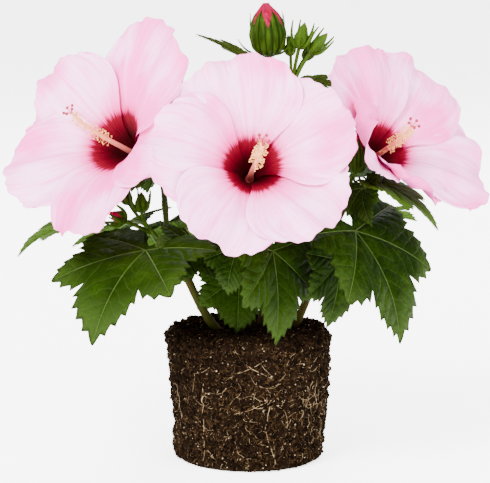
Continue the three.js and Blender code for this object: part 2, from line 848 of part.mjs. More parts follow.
function place(name, solid, material) {
  built.push(solid);
  addNode(name, solid, material);
}

const sockets = Object.values(STEMS).map((stem) => stemSolid(stem, CLEARANCE));
place("root_ball", rootBall(sockets), "soil");
for (const [name, stem] of Object.entries(STEMS)) place(name, stemSolid(stem), "stem");
for (const [name, bloom] of Object.entries(BLOOMS)) {
  const frame = bloomFrame(bloom);
  place(name + "_calyx", calyx(bloom, frame), "bud");
  bloom.petals.forEach((one, i) => {
    place(`${name}_petal_${i + 1}`, solidOf(petal(bloom, frame, one)), "petal");
  });
  place(name + "_column", column(bloom, frame), "column");
}
for (const [name, spray] of Object.entries(SPRAYS)) place(name, spraySolid(spray), "bud");
for (const [name, mass] of Object.entries(MASSES)) place(name, massSolid(mass, built), "leaf");

export default plant;
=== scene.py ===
"""Dresses the hibiscus: crumbly root ball, barked stems, toothed leaves, veined petals and ribbed buds."""
import math

import bpy
import numpy as np
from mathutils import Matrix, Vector, kdtree, noise


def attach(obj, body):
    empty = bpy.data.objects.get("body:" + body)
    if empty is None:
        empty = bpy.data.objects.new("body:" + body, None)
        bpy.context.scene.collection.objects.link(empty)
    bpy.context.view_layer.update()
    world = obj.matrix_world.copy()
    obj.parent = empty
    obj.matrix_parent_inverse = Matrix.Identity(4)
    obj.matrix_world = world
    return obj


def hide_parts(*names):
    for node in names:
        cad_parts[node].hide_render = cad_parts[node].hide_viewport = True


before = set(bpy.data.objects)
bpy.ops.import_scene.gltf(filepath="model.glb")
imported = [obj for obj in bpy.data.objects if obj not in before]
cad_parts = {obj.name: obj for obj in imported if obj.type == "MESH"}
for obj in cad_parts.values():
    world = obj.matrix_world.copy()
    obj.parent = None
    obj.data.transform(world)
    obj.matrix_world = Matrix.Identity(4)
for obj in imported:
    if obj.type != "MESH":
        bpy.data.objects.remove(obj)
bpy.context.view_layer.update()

bl_info = {
    "name": "Hibiscus Shrub",
    "version": (1, 0, 0),
    "blender": (4, 5, 0),
    "location": "View3D > Sidebar > Hibiscus",
    "description": "Grows a young hibiscus with open blooms on its bare root ball",
    "category": "Object",
}

MM = 0.001  # the plant is worked out in millimetres and built in metres

# ---- the plant's own sizes and places, in millimetres and degrees ---------------------------------------
# A heading is 0 at the front, 90 at the right and 180 at the back. A rise is measured up from the level.

ROOT_BALL = {"height": 111, "top": 69, "foot": 61.5, "shoulder": 9, "foot_round": 2, "lump": 1.6}
SUNK = 11  # how far below the soil's top a stem starts
CLEARANCE = 0.3  # gap between a twig or stalk and what carries it

# A stem's foot, its tip, its heading and rise at the foot and at the tip, and its radii at the two.
STEMS = {
    "left_stem": ([-17, -5], [-64, -16, 183], [-70, 40], [-64, 62], [4.1, 3.0]),
    "front_stem": ([-6, 3], [-9, -14, 205], [-80, 62], [30, 72], [3.6, 2.7]),
    "right_stem": ([33, 6], [82, 4, 217], [75, 60], [80, 62], [3.7, 2.8]),
    "middle_stem": ([9, 13], [27, 16, 288], [120, 80], [70, 82], [3.8, 2.6]),
    "back_left_stem": ([-18, 24], [-52, 62, 236], [-140, 60], [-120, 80], [3.4, 2.2]),
    "back_right_stem": ([26, 28], [50, 66, 230], [140, 60], [170, 80], [3.4, 2.2]),
}

# The lobes' tips and the notches after them as (angle, share of the length), and the blade's curves.
BLADE = {
    "tips": [(0, 1), (52, 0.86), (98, 0.74)],
    "sinuses": [(31, 0.60), (76, 0.59), (180, 0.05)],
    "foot_bulge": 0.26,
    "thickness": 1.1,
    "side_droop": 22,
    "fold": 0.16,
}
TWIG_RADIUS = 2.1
STALK_RADIUS = 1.25


def leaf(at, joint, heading, pitch, roll, length, droop=40, width=1):
    """One posed leaf: its stalk's place on the twig, its blade's first point and how the blade lies."""
    return {"at": at, "joint": np.array(joint, float), "heading": heading, "pitch": pitch, "roll": roll,
            "length": length, "droop": droop, "width": width}


# A twig's stem, its share of that stem, its heading, reach and rise, then its posed leaves and its rule for
# more leaves as their count, seed, lengths and spread about the twig's heading.
MASSES = {
    "left_front_foliage": ("left_stem", 0.7, -20, 18, 40, [
        leaf(0.8, [-86, -45, 186], -39, -22, -2, 100, 45),
        leaf(1, [-49, -37, 189], -12, -26, 34, 42, 38),
    ], None),
    "left_outer_foliage": ("left_stem", 0.96, -105, 26, 42, [
        leaf(1, [-147, 26, 196], -86, -4, -18, 62, 50, 1.0),
        leaf(0.7, [-104, 40, 196], -140, -20, 8, 64, 44),
    ], None),
    "front_foliage": ("front_stem", 0.66, 10, 22, 45, [
        leaf(0.8, [19, -62, 189], 41, -72, 14, 80, 27),
        leaf(1, [-9, -66, 193], -70, -66, 34, 44, 38),
        leaf(0.35, [-8, -30, 162], -9, -76, 10, 50, 22),
    ], None),
    "right_front_foliage": ("right_stem", 0.62, 20, 22, 40, [
        leaf(1, [88, -42, 202], 60, -42, -3, 106, 50),
        leaf(0.5, [76, -22, 174], 2, -80, 45, 60, 30),
    ], None),
    "right_outer_foliage": ("right_stem", 0.985, 95, 17, 58, [
        leaf(1, [110, -24, 238], 77, -18, 2, 64),
        leaf(0.6, [94, -40, 238], -5, -58, -50, 34),
    ], None),
    "top_foliage": ("middle_stem", 0.93, -120, 14, 62, [
        leaf(1, [0, 14, 338], -100, 34, -20, 52, 20, 0.5),
    ], (3, 9, (40, 56), 75)),
    "top_right_foliage": ("middle_stem", 0.9, 95, 12, 52, [
        leaf(1, [50, 24, 317], 92, 10, 30, 32, 38, 0.8),
    ], None),
    "middle_foliage": ("middle_stem", 0.5, 170, 30, 50, [], (5, 3, (52, 72), 80)),
    "back_left_foliage": ("back_left_stem", 0.5, -140, 24, 30, [], (6, 4, (56, 78), 100)),
    "back_right_foliage": ("back_right_stem", 0.5, 140, 24, 30, [
        leaf(0.3, [106, 58, 194], 118, 14, 24, 46),
    ], (6, 8, (56, 78), 100)),
    "upper_left_foliage": ("back_left_stem", 0.985, -150, 22, 66, [], (6, 11, (44, 62), 130)),
    "upper_right_foliage": ("back_right_stem", 0.985, 170, 20, 66, [], (6, 5, (40, 58), 120)),
}
GOLDEN_ANGLE = 137.5
# The limits of a ruled leaf's own values, and how many times a place is tried for it.
RULE = {
    "swing": (-24, 24),
    "stalk": (22, 42),
    "stalk_rise": (0, 48),
    "pitch": (-52, -8),
    "roll": (-20, 20),
    "droop": (30, 48),
    "tries": 12,
}

# The funnel that the petals lie on, how far one petal's edge laps over the next, and a petal's half widths
# at its claw and at its broadest, in degrees.
COROLLA = {
    "throat": 4.2,
    "depth": 34,
    "flare": 16,
    "lift": 30,
    "recurve": 6,
    "overlap": 2.1,
    "overlap_from": 5,
    "overlap_full": 15,
    "claw": 46,
    "width": 59,
    "corner_drop": 0.13,
}
EYE_RISE = 34.6  # from the bloom's foot to the middle of its eye
# A bloom's stem, the middle of its eye, its heading and rise, and its radius. Petals are (middle angle,
# reach). A rim is (share of the width left at the rim, squareness), and "broad" gives single petals a rim of
# their own. "flushed" are the pinker petals. "furled" ones have one side of the rim rolled up, as (share of
# the reach where the roll starts, its turn). Waves are (number, height, start), and a column is (heading,
# rise, length).
BLOOMS = {
    "left_bloom": {
        "stem": "left_stem", "eye": [-113, -5, 272.5], "heading": -47, "rise": 30, "radius": 95,
        "petals": [(67, 1.12), (154, 1.04), (214, 1.04), (288, 1.02), (2, 1.06)], "rim": (0.45, 2.5),
        "broad": {0: (0.68, 4)}, "flushed": {0}, "furled": {},
        "waves": [(2, 2.5, 40), (5, 2.4, 0)], "column": (-61, 33, 78),
    },
    "front_bloom": {
        "stem": "front_stem", "eye": [3, -82, 263.8], "heading": 5, "rise": 28, "radius": 84.5,
        "petals": [(103, 1.04), (172, 1.02), (244, 1), (316, 1), (28, 1.02)], "rim": (0.62, 5),
        "broad": {0: (0.74, 6)}, "flushed": {1}, "furled": {},
        "waves": [(2, 1.5, 0), (5, 2, 30)], "column": (9, 31, 76),
    },
    "right_bloom": {
        "stem": "right_stem", "eye": [118, 8, 267.7], "heading": 46, "rise": 36, "radius": 80,
        "petals": [(101, 1.06), (184, 1.02), (256, 0.86), (321, 1.18), (43, 1.16)], "rim": (0.55, 3),
        "broad": {0: (0.8, 4.5), 3: (0.64, 4), 4: (0.66, 4)}, "flushed": {0, 1, 2, 4},
        "furled": {1: (0.60, 3.0), 2: (0.76, 2.2)},
        "waves": [(1, 9, 205), (2, 3, 60), (5, 2.2, 60)], "column": (38, 33, 73),
    },
}
CALYX = {"radius": 8.6, "depth": 15, "gap": 3.7, "tip": 27, "notch": 13, "thickness": 1.3, "bracts": 9,
         "bract_length": 22, "bract_radius": 1.0}
COLUMN = {"base": 2.5, "neck": 1.5, "skirt": 2.4, "anthers_from": 0.42, "stigmas": 5, "stigma_reach": 7.5,
          "stigma_radius": 1.35}

# A spray's stem and twig, then its buds as base, tip, width and share of the length above which petals show.
SPRAYS = {
    "top_bud": ("middle_stem", None, [([17, 7, 343], [14, 5, 388], 31, 0.55)]),
    "bud_cluster": ("middle_stem", (0.95, 60, 24, 78), [
        ([42, 8, 350], [47, 5, 372], 12, 1),
        ([52, 9, 346], [66, 5, 363], 11, 1),
        ([35, 12, 344], [34, 16, 360], 7, 1),
        ([47, 19, 340], [56, 25, 350], 6, 1),
    ]),
    "left_buds": ("left_stem", (0.93, -60, 18, 52), [
        ([-90, -31, 217], [-90, -33, 234], 11, 1),
        ([-104, -24, 208], [-117, -22, 215], 12, 0.12),
        ([-101, -18, 222], [-107, -14, 234], 7, 1),
    ]),
    "right_bud": ("right_stem", (0.9, -45, 12, 66), [([88, -18, 247], [88, -20, 284], 18, 0.42)]),
}


# ---- places and curves -----------------------------------------------------------------------------------

def place(*numbers):
    return np.array(numbers, float)


def unit(vector):
    return vector / np.linalg.norm(vector)


def direction(heading, rise):
    h, r = math.radians(heading), math.radians(rise)
    return place(math.sin(h) * math.cos(r), -math.cos(h) * math.cos(r), math.sin(r))


def smooth_step(value, low, high):
    share = np.clip((value - low) / (high - low), 0, 1)
    return share * share * (3 - 2 * share)


def seeded(seed):
    """Park and Miller's generator, the same as the solids grow by."""
    modulus = 2147483647
    state = (seed * 7919) % modulus
    while True:
        state = (state * 16807) % modulus
        yield state / modulus


def round_place(foot, axes, around, radius, height):
    """Places round an axis: the first two axes span the circle and the third is the way up."""
    around, radius, height = (np.asarray(value, float)[..., None] for value in (around, radius, height))
    across, over, up = axes
    return foot + (np.cos(around) * across + np.sin(around) * over) * radius + up * height


class Run:
    """A smooth run between two places that leaves along one direction and arrives along another."""

    def __init__(self, start, end, leave, arrive):
        reach = np.linalg.norm(end - start) / 3
        self.corners = (start, start + leave * reach, end - arrive * reach, end)

    def point(self, share):
        t = np.asarray(share, float)[..., None]
        a, b, c, d = self.corners
        return (1 - t) ** 3 * a + 3 * (1 - t) ** 2 * t * b + 3 * (1 - t) * t * t * c + t ** 3 * d

    def tangent(self, share):
        ahead, behind = self.point(min(share + 1e-3, 1)), self.point(max(share - 1e-3, 0))
        return unit(ahead - behind)


def path_frames(path):
    """Two directions across a path at each of its places, turned as little as they can be."""
    tangents = np.gradient(path, axis=0)
    tangents /= np.linalg.norm(tangents, axis=1, keepdims=True)
    across = np.cross(tangents[0], (1, 0, 0) if abs(tangents[0][0]) < 0.9 else (0, 1, 0))
    normals = []
    for tangent in tangents:
        across = unit(across - tangent * across.dot(tangent))
        normals.append(across)
    normals = np.array(normals)
    return normals, np.cross(tangents, normals)


# ---- meshes ----------------------------------------------------------------------------------------------

def ring_faces(rings, sides):
    """Faces between rings of places, each ring with that many places and closed on itself."""
    faces = []
    for ring in range(rings - 1):
        low = ring * sides
        for side in range(sides):
            other = (side + 1) % sides
            faces.append((low + side, low + other, low + sides + other, low + sides + side))
    return faces


def closed_rings(rings, low_end, high_end):
    """Rings of places, closed by a fan at each end."""
    count, sides = rings.shape[:2]
    places = np.concatenate([rings.reshape(-1, 3), [low_end], [high_end]])
    faces = ring_faces(count, sides)
    low, high, last = count * sides, count * sides + 1, (count - 1) * sides
    for side in range(sides):
        other = (side + 1) % sides
        faces.append((other, side, low))
        faces.append((last + side, last + other, high))
    return places, faces


def tube(path, radii, sides):
    """A round limb along a path, with one radius for each place of the path or for each of its sides."""
    normals, binormals = path_frames(path)
    turns = np.arange(sides) * 2 * math.pi / sides
    radii = np.broadcast_to(np.asarray(radii, float).reshape(len(path), -1), (len(path), sides))
    turns = turns[None, :, None]
    spokes = normals[:, None] * np.cos(turns) + binormals[:, None] * np.sin(turns)
    return closed_rings(path[:, None] + spokes * radii[..., None], path[0], path[-1])


def sheet(top, bottom):
    """A thin closed sheet between two grids of places of the same size."""
    rows, columns = top.shape[:2]
    places = np.concatenate([top.reshape(-1, 3), bottom.reshape(-1, 3)])
    faces = []
    under = rows * columns
    for row in range(rows - 1):
        for column in range(columns - 1):
            a = row * columns + column
            b, c, d = a + 1, a + columns + 1, a + columns
            faces.append((a, b, c, d))
            faces.append((under + a, under + d, under + c, under + b))
    edge = list(range(columns))
    edge += [row * columns + columns - 1 for row in range(1, rows)]
    edge += [(rows - 1) * columns + column for column in range(columns - 2, -1, -1)]
    edge += [row * columns for row in range(rows - 2, 0, -1)]
    for here, there in zip(edge, edge[1:] + edge[:1]):
        faces.append((there, here, under + here, under + there))
    return places, faces


def signed_volume(places, faces):
    corners = np.array([(f[0], f[i], f[i + 1]) for f in faces for i in range(1, len(f) - 1)])
    a, b, c = (places[corners[:, k]] for k in range(3))
    return np.einsum("ij,ij->i", a, np.cross(b, c)).sum()


def outward(places, faces):
    """Turns a closed part's faces to look outward."""
    if signed_volume(places - places.mean(axis=0), faces) < 0:
        faces = [tuple(reversed(face)) for face in faces]
    return places, faces


class Pile:
    """Gathers closed parts, in millimetres, into one mesh with a finish for each face."""

    def __init__(self):
        self.places, self.faces, self.finishes, self.uvs = [], [], [], []
        self.count = 0

    def add(self, part, finish=0, uv=None):
        places, faces = outward(*part)
        self.faces += [tuple(corner + self.count for corner in face) for face in faces]
        self.finishes += list(finish) if np.ndim(finish) else [finish] * len(faces)
        self.places.append(places)
        self.uvs.append(np.zeros((len(places), 2)) if uv is None else uv)
        self.count += len(places)

    def build(self, name, materials, slot, replaced=()):
        mesh = bpy.data.meshes.new(name)
        mesh.from_pydata((np.concatenate(self.places) * MM).tolist(), [], self.faces)
        mesh.polygons.foreach_set("material_index", self.finishes)
        mesh.polygons.foreach_set("use_smooth", [True] * len(self.faces))
        corners = np.empty(len(mesh.loops), int)
        mesh.loops.foreach_get("vertex_index", corners)
        layer = mesh.uv_layers.new(name="Growth")
        layer.data.foreach_set("uv", np.concatenate(self.uvs)[corners].ravel())
        for material in materials:
            mesh.materials.append(material)
        mesh.validate()
        return settle(bpy.data.objects.new(name, mesh), replaced)


def settle(piece, replaced=()):
    """Links a piece, lets it ride on the plant and stand for its solids."""
    bpy.context.scene.collection.objects.link(piece)
    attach(piece, "root")
    if replaced:
        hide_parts(*replaced)
    return piece


# ---- scattering ------------------------------------------------------------------------------------------

SCATTER_INPUTS = [("Surface", "Geometry"), ("Grain", "Object"), ("Density", "Float"), ("Smallest", "Float"),
                  ("Largest", "Float"), ("Tumble", "Float"), ("Seed", "Int"), ("Finish", "Material")]


def scatter_tree():
    """Geometry nodes that set grains over a surface by a density map, turned and sized at random."""
    tree = bpy.data.node_groups.new("Scatter Grains", "GeometryNodeTree")
    for name, kind in SCATTER_INPUTS:
        tree.interface.new_socket(name, in_out="INPUT", socket_type="NodeSocket" + kind)
    tree.interface.new_socket("Grains", in_out="OUTPUT", socket_type="NodeSocketGeometry")
    add = tree.nodes.new
    inputs, output = add("NodeGroupInput"), add("NodeGroupOutput")
    share = add("GeometryNodeInputNamedAttribute")
    share.data_type = "FLOAT"
    share.inputs["Name"].default_value = "share"
    spread = add("GeometryNodeDistributePointsOnFaces")
    spread.distribute_method = "RANDOM"
    density = add("ShaderNodeMath")
    density.operation = "MULTIPLY"
    grain = add("GeometryNodeObjectInfo")
    grain.inputs["As Instance"].default_value = True
    turn_low, turn_high = add("ShaderNodeCombineXYZ"), add("ShaderNodeCombineXYZ")
    turn_high.inputs["Z"].default_value = 2 * math.pi
    turn = add("FunctionNodeRandomValue")
    turn.data_type = "FLOAT_VECTOR"
    rotate = add("FunctionNodeRotateRotation")
    rotate.rotation_space = "LOCAL"
    size = add("FunctionNodeRandomValue")
    size.data_type = "FLOAT"
    instance, realize = add("GeometryNodeInstanceOnPoints"), add("GeometryNodeRealizeInstances")
    finish = add("GeometryNodeSetMaterial")
    links = [
        (inputs, "Surface", spread, "Mesh"),
        (inputs, "Density", density, 0),
        (share, 0, density, 1),
        (density, 0, spread, "Density"),
        (inputs, "Seed", spread, "Seed"),
        (inputs, "Grain", grain, "Object"),
        (inputs, "Tumble", turn_high, "X"),
        (inputs, "Tumble", turn_high, "Y"),
        (turn_low, 0, turn, 0),
        (turn_high, 0, turn, 1),
        (inputs, "Seed", turn, "Seed"),
        (spread, "Rotation", rotate, "Rotation"),
        (turn, 0, rotate, "Rotate By"),
        (inputs, "Smallest", size, 2),
        (inputs, "Largest", size, 3),
        (inputs, "Seed", size, "Seed"),
        (spread, "Points", instance, "Points"),
        (grain, "Geometry", instance, "Instance"),
        (rotate, 0, instance, "Rotation"),
        (size, 1, instance, "Scale"),
        (instance, 0, realize, 0),
        (realize, 0, finish, "Geometry"),
        (inputs, "Finish", finish, "Material"),
        (finish, 0, output, "Grains"),
    ]
    for source, given, target, taken in links:
        tree.links.new(source.outputs[given], target.inputs[taken])
    return tree


def scatter(name, surface, shares, grain, material, density, sizes, tumble, seed):
    """Sets grains over a mesh where its shares allow them, as one plain mesh piece."""
    tree = bpy.data.node_groups.get("Scatter Grains") or scatter_tree()
    host = bpy.data.objects.new(name + "_host", surface.copy())
    bpy.context.scene.collection.objects.link(host)
    host.data.attributes.new("share", "FLOAT", "POINT").data.foreach_set("value", shares)
    modifier = host.modifiers.new("Scatter", "NODES")
    modifier.node_group = tree
    values = {"Grain": grain, "Density": density, "Smallest": sizes[0], "Largest": sizes[1],
              "Tumble": tumble, "Seed": seed, "Finish": material}
    for item in tree.interface.items_tree:
        if item.name in values and item.in_out == "INPUT":
            modifier[item.identifier] = values[item.name]
    depsgraph = bpy.context.evaluated_depsgraph_get()
    mesh = bpy.data.meshes.new_from_object(host.evaluated_get(depsgraph), depsgraph=depsgraph)
    host.modifiers.remove(modifier)
    bpy.data.objects.remove(host)
    mesh.name = name
    mesh.attributes.remove(mesh.attributes["share"])
    return settle(bpy.data.objects.new(name, mesh))


def grain_object(name, part):
    """A small mesh in metres that a scatter sets. Its user removes it."""
    places, faces = part
    mesh = bpy.data.meshes.new(name)
    mesh.from_pydata((np.asarray(places) * MM).tolist(), [], faces)
    mesh.polygons.foreach_set("use_smooth", [False] * len(faces))
    grain = bpy.data.objects.new(name, mesh)
    bpy.context.scene.collection.objects.link(grain)
    return grain


def pebble(seed, squash=(1, 1, 1), rough=0.5):
    """A rough lump about a millimetre in radius, with two rings of four corners between its poles."""
    random = seeded(seed)
    rings = []
    for rise in (-32, 34):
        turns = np.arange(4) * math.pi / 2 + rise / 45
        flat, high = math.cos(math.radians(rise)), math.sin(math.radians(rise))
        ring = [[math.cos(t) * flat, math.sin(t) * flat, high] for t in turns]
        rings.append([[c * (1 + rough * (next(random) - 0.5)) for c in corner] for corner in ring])
    places, faces = closed_rings(np.array(rings), [0, 0, -0.9], [0, 0, 0.9])
    return outward(places * np.array(squash), faces)


def fibre(seed, length=6.0, radius=0.17):
    """A short bent strand that lies along a surface with its ends sunk in."""
    random = seeded(seed)
    bend = (next(random) - 0.5) * length * 0.6
    path = np.array([[-length / 2, 0, -0.5], [-length / 5, bend * 0.6, 0.5], [length / 6, bend, 0.8],
                     [length / 2, bend * 0.2, -0.3]])
    return outward(*tube(path, [radius, radius, radius * 0.9, radius * 0.6], 3))


# ---- finishes --------------------------------------------------------------------------------------------

def new_finish(name):
    material = bpy.data.materials.new(name)
    material.use_nodes = True
    tree = material.node_tree
    return material, tree, tree.nodes["Principled BSDF"]


def set_shader(shader, roughness, **others):
    shader.inputs["Roughness"].default_value = roughness
    for socket, value in others.items():
        shader.inputs[socket.replace("_", " ")].default_value = value


def noise_node(tree, vector, scale, detail=3, stretch=None):
    node = tree.nodes.new("ShaderNodeTexNoise")
    node.inputs["Scale"].default_value = scale
    node.inputs["Detail"].default_value = detail
    if stretch:
        mapping = tree.nodes.new("ShaderNodeMapping")
        mapping.inputs["Scale"].default_value = stretch
        tree.links.new(vector, mapping.inputs["Vector"])
        vector = mapping.outputs["Vector"]
    tree.links.new(vector, node.inputs["Vector"])
    return node.outputs["Fac"]


def object_places(tree):
    return tree.nodes.new("ShaderNodeTexCoord").outputs["Object"]


def rgba(colour):
    """A colour, or a grey given as one number, with its alpha."""
    channels = (colour,) * 3 if isinstance(colour, (int, float)) else tuple(colour)[:3]
    return (*channels, 1)


def darker(colour, share):
    return [channel * share for channel in tuple(colour)[:3]]


def feed(tree, socket, value):
    """Links a socket to another one, or gives it a plain number or colour."""
    if isinstance(value, bpy.types.NodeSocket):
        tree.links.new(value, socket)
    else:
        socket.default_value = rgba(value) if socket.type == "RGBA" else value


def ramp(tree, factor, stops):
    """A colour ramp with (place, colour or grey) stops."""
    node = tree.nodes.new("ShaderNodeValToRGB")
    node.color_ramp.elements.remove(node.color_ramp.elements[1])
    for index, (where, colour) in enumerate(stops):
        element = node.color_ramp.elements[0] if index == 0 else node.color_ramp.elements.new(where)
        element.position = where
        element.color = rgba(colour)
    tree.links.new(factor, node.inputs["Fac"])
    return node.outputs["Color"]


MIX_SOCKETS, MIX_RESULT = (0, 6, 7), 2  # factor, first and second colour of a mix node, and what it gives


def blend(tree, factor, first, second):
    """Mixes two colours. Each is a socket or a plain colour."""
    node = tree.nodes.new("ShaderNodeMix")
    node.data_type = "RGBA"
    for index, value in zip(MIX_SOCKETS, (factor, first, second)):
        feed(tree, node.inputs[index], value)
    return node.outputs[MIX_RESULT]


def layered(tree, body, layers):
    """Lays colours over a body, each where its ramp over a factor lets it show."""
    for factor, stops, colour in layers:
        body = blend(tree, ramp(tree, factor, stops), body, colour)
    return body


def calculate(tree, operation, *values):
    node = tree.nodes.new("ShaderNodeMath")
    node.operation = operation
    for socket, value in zip(node.inputs, values):
        feed(tree, socket, value)
    return node.outputs[0]


def bump(tree, shader, height, strength, distance):
    node = tree.nodes.new("ShaderNodeBump")
    node.inputs["Strength"].default_value = strength
    node.inputs["Distance"].default_value = distance
    tree.links.new(height, node.inputs["Height"])
    tree.links.new(node.outputs["Normal"], shader.inputs["Normal"])


def mottled(name, colour, other, scale, roughness, relief=0.3, depth=0.0004, stretch=None, **others):
    """A natural surface: one colour broken up by another, with fine relief and painted shade in the relief's
    hollows.
    """
    material, tree, shader = new_finish(name)
    coordinates = object_places(tree)
    broad = noise_node(tree, coordinates, scale, 4, stretch)
    fine = noise_node(tree, coordinates, scale * 5, 4, stretch)
    mixed = ramp(tree, broad, [(0.35, colour), (0.65, other)])
    # Painted shade: a darker tone where the fine relief is low, in its hollows.
    body = layered(tree, mixed, [(fine, [(0.3, 0.5), (0.7, 0)], darker(colour, 0.75))])
    feed(tree, shader.inputs["Base Color"], body)
    set_shader(shader, roughness, **{"Specular_IOR_Level": 0.06, **others})
    bump(tree, shader, fine, relief, depth)
    return material


def growth_map(tree):
    """A piece's own map, and its two coordinates."""
    uv = tree.nodes.new("ShaderNodeUVMap")
    uv.uv_map = "Growth"
    split = tree.nodes.new("ShaderNodeSeparateXYZ")
    tree.links.new(uv.outputs["UV"], split.inputs[0])
    return uv.outputs["UV"], split.outputs["X"], split.outputs["Y"]


VEIN_GAP, VEIN_SLANT = 0.066, -0.85  # between side veins, as a share of the blade, and their lean ahead


def leaf_finish(name, colour, other, vein, roughness, contrast=1.0):
    """A blade with side veins that slant forward off each lobe's main vein, puffed up between them, and a
    painted highlight towards its lobe tips.
    """
    material, tree, shader = new_finish(name)
    _, ahead, aside = growth_map(tree)
    coordinates = object_places(tree)
    square = calculate(tree, "MULTIPLY_ADD", ahead, ahead, calculate(tree, "MULTIPLY", aside, aside))
    radius = calculate(tree, "SQRT", square)
    turn = calculate(tree, "ABSOLUTE", calculate(tree, "ARCTAN2", aside, ahead))
    nearest = turn
    for lobe, _ in BLADE["tips"][1:]:
        away = calculate(tree, "ABSOLUTE", calculate(tree, "SUBTRACT", turn, math.radians(lobe)))
        nearest = calculate(tree, "MINIMUM", nearest, away)
    across = calculate(tree, "MULTIPLY", radius, calculate(tree, "SINE", nearest))
    along = calculate(tree, "MULTIPLY", radius, calculate(tree, "COSINE", nearest))
    course = calculate(tree, "MULTIPLY_ADD", across, VEIN_SLANT, along)
    course = calculate(tree, "MULTIPLY_ADD", noise_node(tree, coordinates, 60, 2), 0.11, course)
    stripe = calculate(tree, "PINGPONG", course, VEIN_GAP)
    fine = noise_node(tree, coordinates, 420, 4)
    broad = noise_node(tree, coordinates, 38, 3)
    # Painted highlight: the vein colour laid over the outer blade, towards the lobe tips, where the edges
    # catch the light.
    outer = calculate(tree, "MULTIPLY_ADD", broad, 0.3, radius)
    body = layered(tree, colour, [
        (broad, [(0.4, 0), (0.62, 1)], other),
        (fine, [(0.35, 0.7), (0.6, 0)], darker(colour, 0.55)),
        (outer, [(0.72, 0), (1, 0.26)], vein),
        (stripe, [(0.0, 0.16 * contrast), (0.009, 0)], vein),
    ])
    feed(tree, shader.inputs["Base Color"], body)
    set_shader(shader, roughness, Specular_IOR_Level=0.004)
    puff = calculate(tree, "MINIMUM", calculate(tree, "MULTIPLY", stripe, 16),
                     calculate(tree, "MULTIPLY", across, 14))
    grain = noise_node(tree, coordinates, 150, 3)
    height = calculate(tree, "MULTIPLY_ADD", grain, 2.2, calculate(tree, "SQRT", puff))
    bump(tree, shader, height, 0.9, 0.0011)
    return material


def petal_finish(name, colours, flush):
    """Pale pink with soft radial veins, a painted highlight on their ridges, pinker clouds and edges, and a
    dark red eye that frays out.
    """
    material, tree, shader = new_finish(name)
    uv, _, out = growth_map(tree)
    streaks = noise_node(tree, uv, 1, 3, (52, 1.6, 1))
    veins = noise_node(tree, uv, 1, 2, (17, 2.2, 1))
    threads = noise_node(tree, uv, 1, 1, (80, 3, 1))
    clouds = noise_node(tree, object_places(tree), 14, 2)
    edge = calculate(tree, "MULTIPLY_ADD", clouds, 0.25, out)
    frayed = calculate(tree, "MULTIPLY_ADD", streaks, -0.11, calculate(tree, "ADD", out, 0.054))
    inside = ramp(tree, frayed, [(0.115, colours.eye_dark), (0.215, colours.eye_red),
                                 (0.25, colours.eye_rim)])
    body = layered(tree, colours.petal_pale, [
        (clouds, [(0.46 - flush, 0), (0.66 - flush, 0.95)], colours.petal_pink),
        (veins, [(0.34, 0.45), (0.5, 0)], colours.petal_pink),
        # Painted highlight: a paler tint on the raised ridges of the vein relief.
        (veins, [(0.54, 0), (0.7, 0.24)], colours.petal_light),
        (threads, [(0.5, 0), (0.64, 0.3)], colours.petal_flush),
        (edge, [(0.80, 0), (1.0, 0.40)], colours.petal_flush),
        (frayed, [(0.23, 1.0), (0.262, 0.66), (0.31, 0.26), (0.47, 0)], colours.eye_halo),
        (frayed, [(0.218, 1), (0.252, 0)], inside),
    ])
    feed(tree, shader.inputs["Base Color"], body)
    set_shader(shader, 0.7, Specular_IOR_Level=0.04)
    wrinkles = noise_node(tree, uv, 1, 3, (9, 7, 1))
    relief = calculate(tree, "MULTIPLY_ADD", threads, 0.3, veins)
    bump(tree, shader, calculate(tree, "MULTIPLY_ADD", wrinkles, 0.9, relief), 0.8, 0.0016)
    return material


def petal_back_finish(colours):
    """The deeper pink of a petal's back, ribbed along its veins."""
    material, tree, shader = new_finish("petal_back")
    uv, _, _ = growth_map(tree)
    veins = noise_node(tree, uv, 1, 2, (26, 1.4, 1))
    body = layered(tree, colours.petal_back, [(veins, [(0.4, 0.5), (0.6, 0)], colours.petal_flush)])
    feed(tree, shader.inputs["Base Color"], body)
    set_shader(shader, 0.7, Specular_IOR_Level=0.04)
    bump(tree, shader, veins, 0.6, 0.0012)
    return material


def column_finish(colours):
    """The staminal column, red at its foot and cream towards its tip."""
    material, tree, shader = new_finish("column")
    _, _, out = growth_map(tree)
    tint = ramp(tree, out, [(0.1, colours.column_foot), (0.4, colours.column_middle),
                            (0.8, colours.column_tip)])
    speckle = noise_node(tree, object_places(tree), 900, 2)
    body = layered(tree, tint, [(speckle, [(0.4, 0), (0.7, 0.35)], colours.column_foot)])
    feed(tree, shader.inputs["Base Color"], body)
    set_shader(shader, 0.5, Specular_IOR_Level=0.2)
    bump(tree, shader, speckle, 0.2, 0.0002)
    return material


# ---- what a user would change ----------------------------------------------------------------------------

def colour_property(name, description, default):
    return bpy.props.FloatVectorProperty(
        name=name, description=description, default=default, size=3, min=0, max=1, subtype="COLOR")


